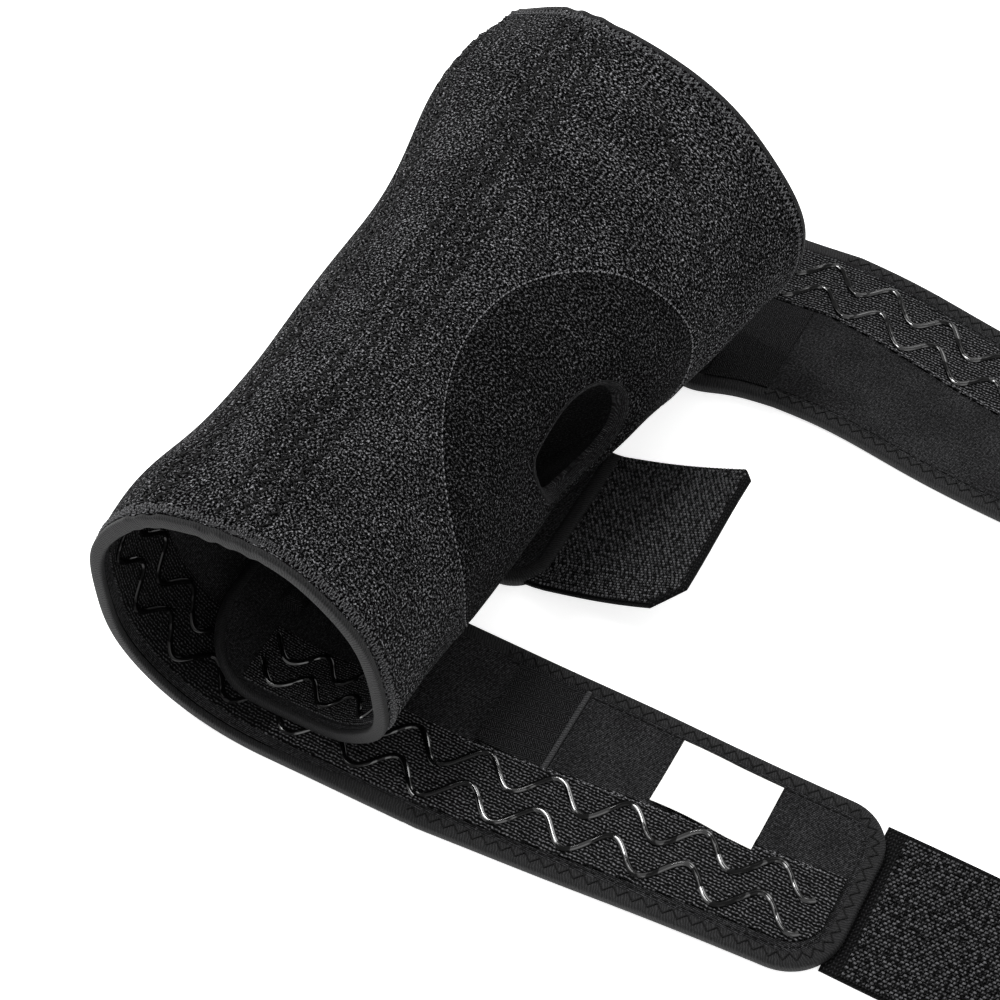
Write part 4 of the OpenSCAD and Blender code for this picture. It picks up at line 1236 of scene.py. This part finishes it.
def on_strap(tip_x, strap_y):
    def to(x, y, z):
        q, v = on_floor(tip_x + x, strap_y + y)
        return place(q, v, z + 0.25 * smooth((x - 30) / 50) * (1 + np.sin(x / 14 + y / 30)))
    return to


for leg, tip_x, strap_y in (("calf", CALF_TIP_X, CALF_STRAP_Y), ("thigh", THIGH_TIP_X, THIGH_STRAP_Y)):
    to = on_strap(tip_x, strap_y)
    body, strap = leg + "_wing", leg + "_strap_end"
    bend = ((tip_x - 2.5 + 0.2) * MM, 0, 0), ((tip_x + 2.5 + 0.2) * MM, 0, 0)
    x, y = np.meshgrid(np.linspace(-31, -3, 20), np.linspace(-16.5, 16.5, 24))
    root = plate(Build(), x, y, 0, STRAP_T, to)
    cloth_piece(root, leg + "_root_webbing", WEBBING, "webbing", (0.028, 0.033, 0.028 * 0.033), "laid", ["floor"],
                [leg + "_strap_root"], body)
    x, y = outline_grid(STRAP_L + 0.2, STRAP_W, 8, 0, 1.6, -3.0)
    cloth_piece(plate(Build(), x, y, 0, STRAP_T, to), leg + "_strap_webbing", WEBBING, "webbing",
                (STRAP_W * MM, (STRAP_L + 3.2) * MM, STRAP_W * (STRAP_L + 3.2) * MM * MM), "laid", ["floor"],
                [leg + "_strap"], (body, strap), bend)
    x, y = outline_grid(STRAP_L - 0.6, STRAP_W - 1.6, 7, 0, 3.2, 3.2)
    made = plate(Build(), x, y, STRAP_T, STRAP_T + 0.4, to)
    trim(made, leg + "_hook_base", WEBBING, "hook_tape", strap, nodes=[leg + "_hook"])
    made = hooks(Build(), np.arange(4.2, STRAP_L - 4, 1.6), np.arange(-26, 26.2, 1.2), STRAP_T + 0.35, 0.85,
                 to, 0.8)
    trim(made, leg + "_hook_rows", HOOKS, "hook_tape", strap)


def on_tab(x, y, z):
    """From the flat tab to where it stands, rising from the edge of the floor panel."""
    rise = math.radians(TAB_RISE)
    root, x = np.minimum(x, 0), np.maximum(x, 0)
    z = z - 1.6 * np.sin(np.pi * np.clip(x / TAB_L, 0, 1)) + 0.5 * np.sin(y / 13) * smooth(x / 40)
    return np.stack([TAB_ROOT_X + 0.4 + root + x * math.cos(rise) - z * math.sin(rise), TAB_Y + 2 + 0.96 * y,
                     PANEL_T + 0.7 + root * 0.13 + x * math.sin(rise) + z * math.cos(rise)], -1)


def tab_root(y):
    """Where the tab starts at y: straight, then further in behind the round corner of the floor panel."""
    return np.minimum(0, TAB_ROOT_X - TAB_CORNER - 1 + np.sqrt(np.maximum(0, (TAB_CORNER - 1) ** 2 - np.maximum(
        0, TAB_CORNER - TAB_W / 2 - y) ** 2)) - TAB_ROOT_X) - 1.5


def tab_grid(inset, step):
    """The tab with its two far corners clipped, the calf one more."""
    x = np.concatenate([np.arange(inset, TAB_L - 10, step), np.linspace(TAB_L - 10, TAB_L - inset, 8)])
    low = -TAB_W / 2 + inset + np.maximum(0, x - TAB_L + 10) * 1.0
    high = TAB_W / 2 - inset - np.maximum(0, x - TAB_L + 4) * 1.25
    t = np.linspace(0, 1, int(TAB_W / step))[:, None]
    y = mix(low, high, t)
    return np.broadcast_to(x, y.shape) + tab_root(y) * np.clip(1 - x / 12, 0, 1), y


TAB_BEND = ((TAB_ROOT_X - 1.5) * MM, 0, 0), ((TAB_ROOT_X + 3.0) * MM, 0, 0)
x, y = tab_grid(0, 1.6)
cloth_piece(plate(Build(), x, y, -STRAP_T - HOOK_T, -HOOK_T, on_tab), "tab_cloth", WEBBING, "webbing",
            (TAB_W * MM, TAB_L * MM, TAB_W * TAB_L * MM * MM), "stretched", ["cut_out_rim"], ["tab_webbing"],
            (BACK, "centre_tab"), TAB_BEND)
x, y = tab_grid(0.8, 3.2)
made = plate(Build(), x, y, -HOOK_T, -HOOK_T + 0.4, on_tab)
trim(made, "tab_hook_base", WEBBING, "hook_tape", (BACK, "centre_tab"), TAB_BEND, ["tab_hook"])
made = Build()
for mid in np.arange(-TAB_W / 2 + 1.6, TAB_W / 2 - 1.4, 2.4):
    far = TAB_L - 2.4 - max(0, -TAB_W / 2 + 10 - mid) - max(0, mid - TAB_W / 2 + 5) * 0.8
    hooks(made, np.arange(float(tab_root(mid)) + 1.2, far, 1.6), np.array([mid, mid + 1.2]), -HOOK_T + 0.35, 0.85,
          on_tab, 0.8)
trim(made, "tab_hook_rows", HOOKS, "hook_tape", (BACK, "centre_tab"), TAB_BEND)

# ---- Floor, light and camera ----
me = bpy.data.meshes.new("studio_floor")
me.from_pydata([(-4, -4, -0.0002), (4, -4, -0.0002), (4, 4, -0.0002), (-4, 4, -0.0002)], [], [(0, 1, 2, 3)])
floor = bpy.data.objects.new("studio_floor", me)
bpy.context.scene.collection.objects.link(floor)
white = bpy.data.materials.new("studio_white")
white.use_nodes = True
paint = white.node_tree.nodes["Principled BSDF"].inputs
paint["Base Color"].default_value = (0.93, 0.93, 0.93, 1)
paint["Roughness"].default_value = 0.9
# A little light of its own keeps the shadows faint
paint["Emission Color"].default_value = (1, 1, 1, 1)
paint["Emission Strength"].default_value = 0.7
me.materials.append(white)
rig.stage(floor)

world = bpy.data.worlds.new("studio")
bpy.context.scene.world = world
world.use_nodes = True
world.node_tree.nodes["Background"].inputs["Color"].default_value = (1, 1, 1, 1)
world.node_tree.nodes["Background"].inputs["Strength"].default_value = 0.55


def softbox(name, where, aim, size, power):
    light = bpy.data.lights.new(name, "AREA")
    light.shape, light.size, light.energy = "SQUARE", size, power
    lamp = bpy.data.objects.new(name, light)
    lamp.location = where
    lamp.rotation_euler = (Vector(where) - Vector(aim)).to_track_quat("Z", "Y").to_euler()
    bpy.context.scene.collection.objects.link(lamp)


middle = (0.06, 0.0, 0.04)
softbox("key", (-0.55, -0.1, 1.1), middle, 0.7, 11)
softbox("fill", (0.9, -0.6, 0.9), middle, 0.8, 1.5)
softbox("back", (0.3, 0.9, 0.9), middle, 0.6, 4)
softbox("glint", (-0.3, 0.25, 1.2), middle, 0.2, 5)

azimuth, elevation = math.radians(29), math.radians(53)
back = Vector((math.sin(azimuth) * math.cos(elevation), -math.cos(azimuth) * math.cos(elevation),
               math.sin(elevation)))
lens = bpy.data.cameras.new("view")
lens.lens, lens.sensor_width = 75, 36
camera = bpy.data.objects.new("view", lens)
camera.location = (0.23559, -0.41353, 0.60214)
camera.rotation_euler = (-back).to_track_quat("-Z", "Y").to_euler()
bpy.context.scene.collection.objects.link(camera)
bpy.context.scene.camera = camera
bpy.context.scene.view_settings.view_transform = "Standard"

with open("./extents.json", "w") as out:
    json.dump({"cad": [list(p) for p in cad_box], "visual": [list(p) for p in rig.bounds()]}, out)
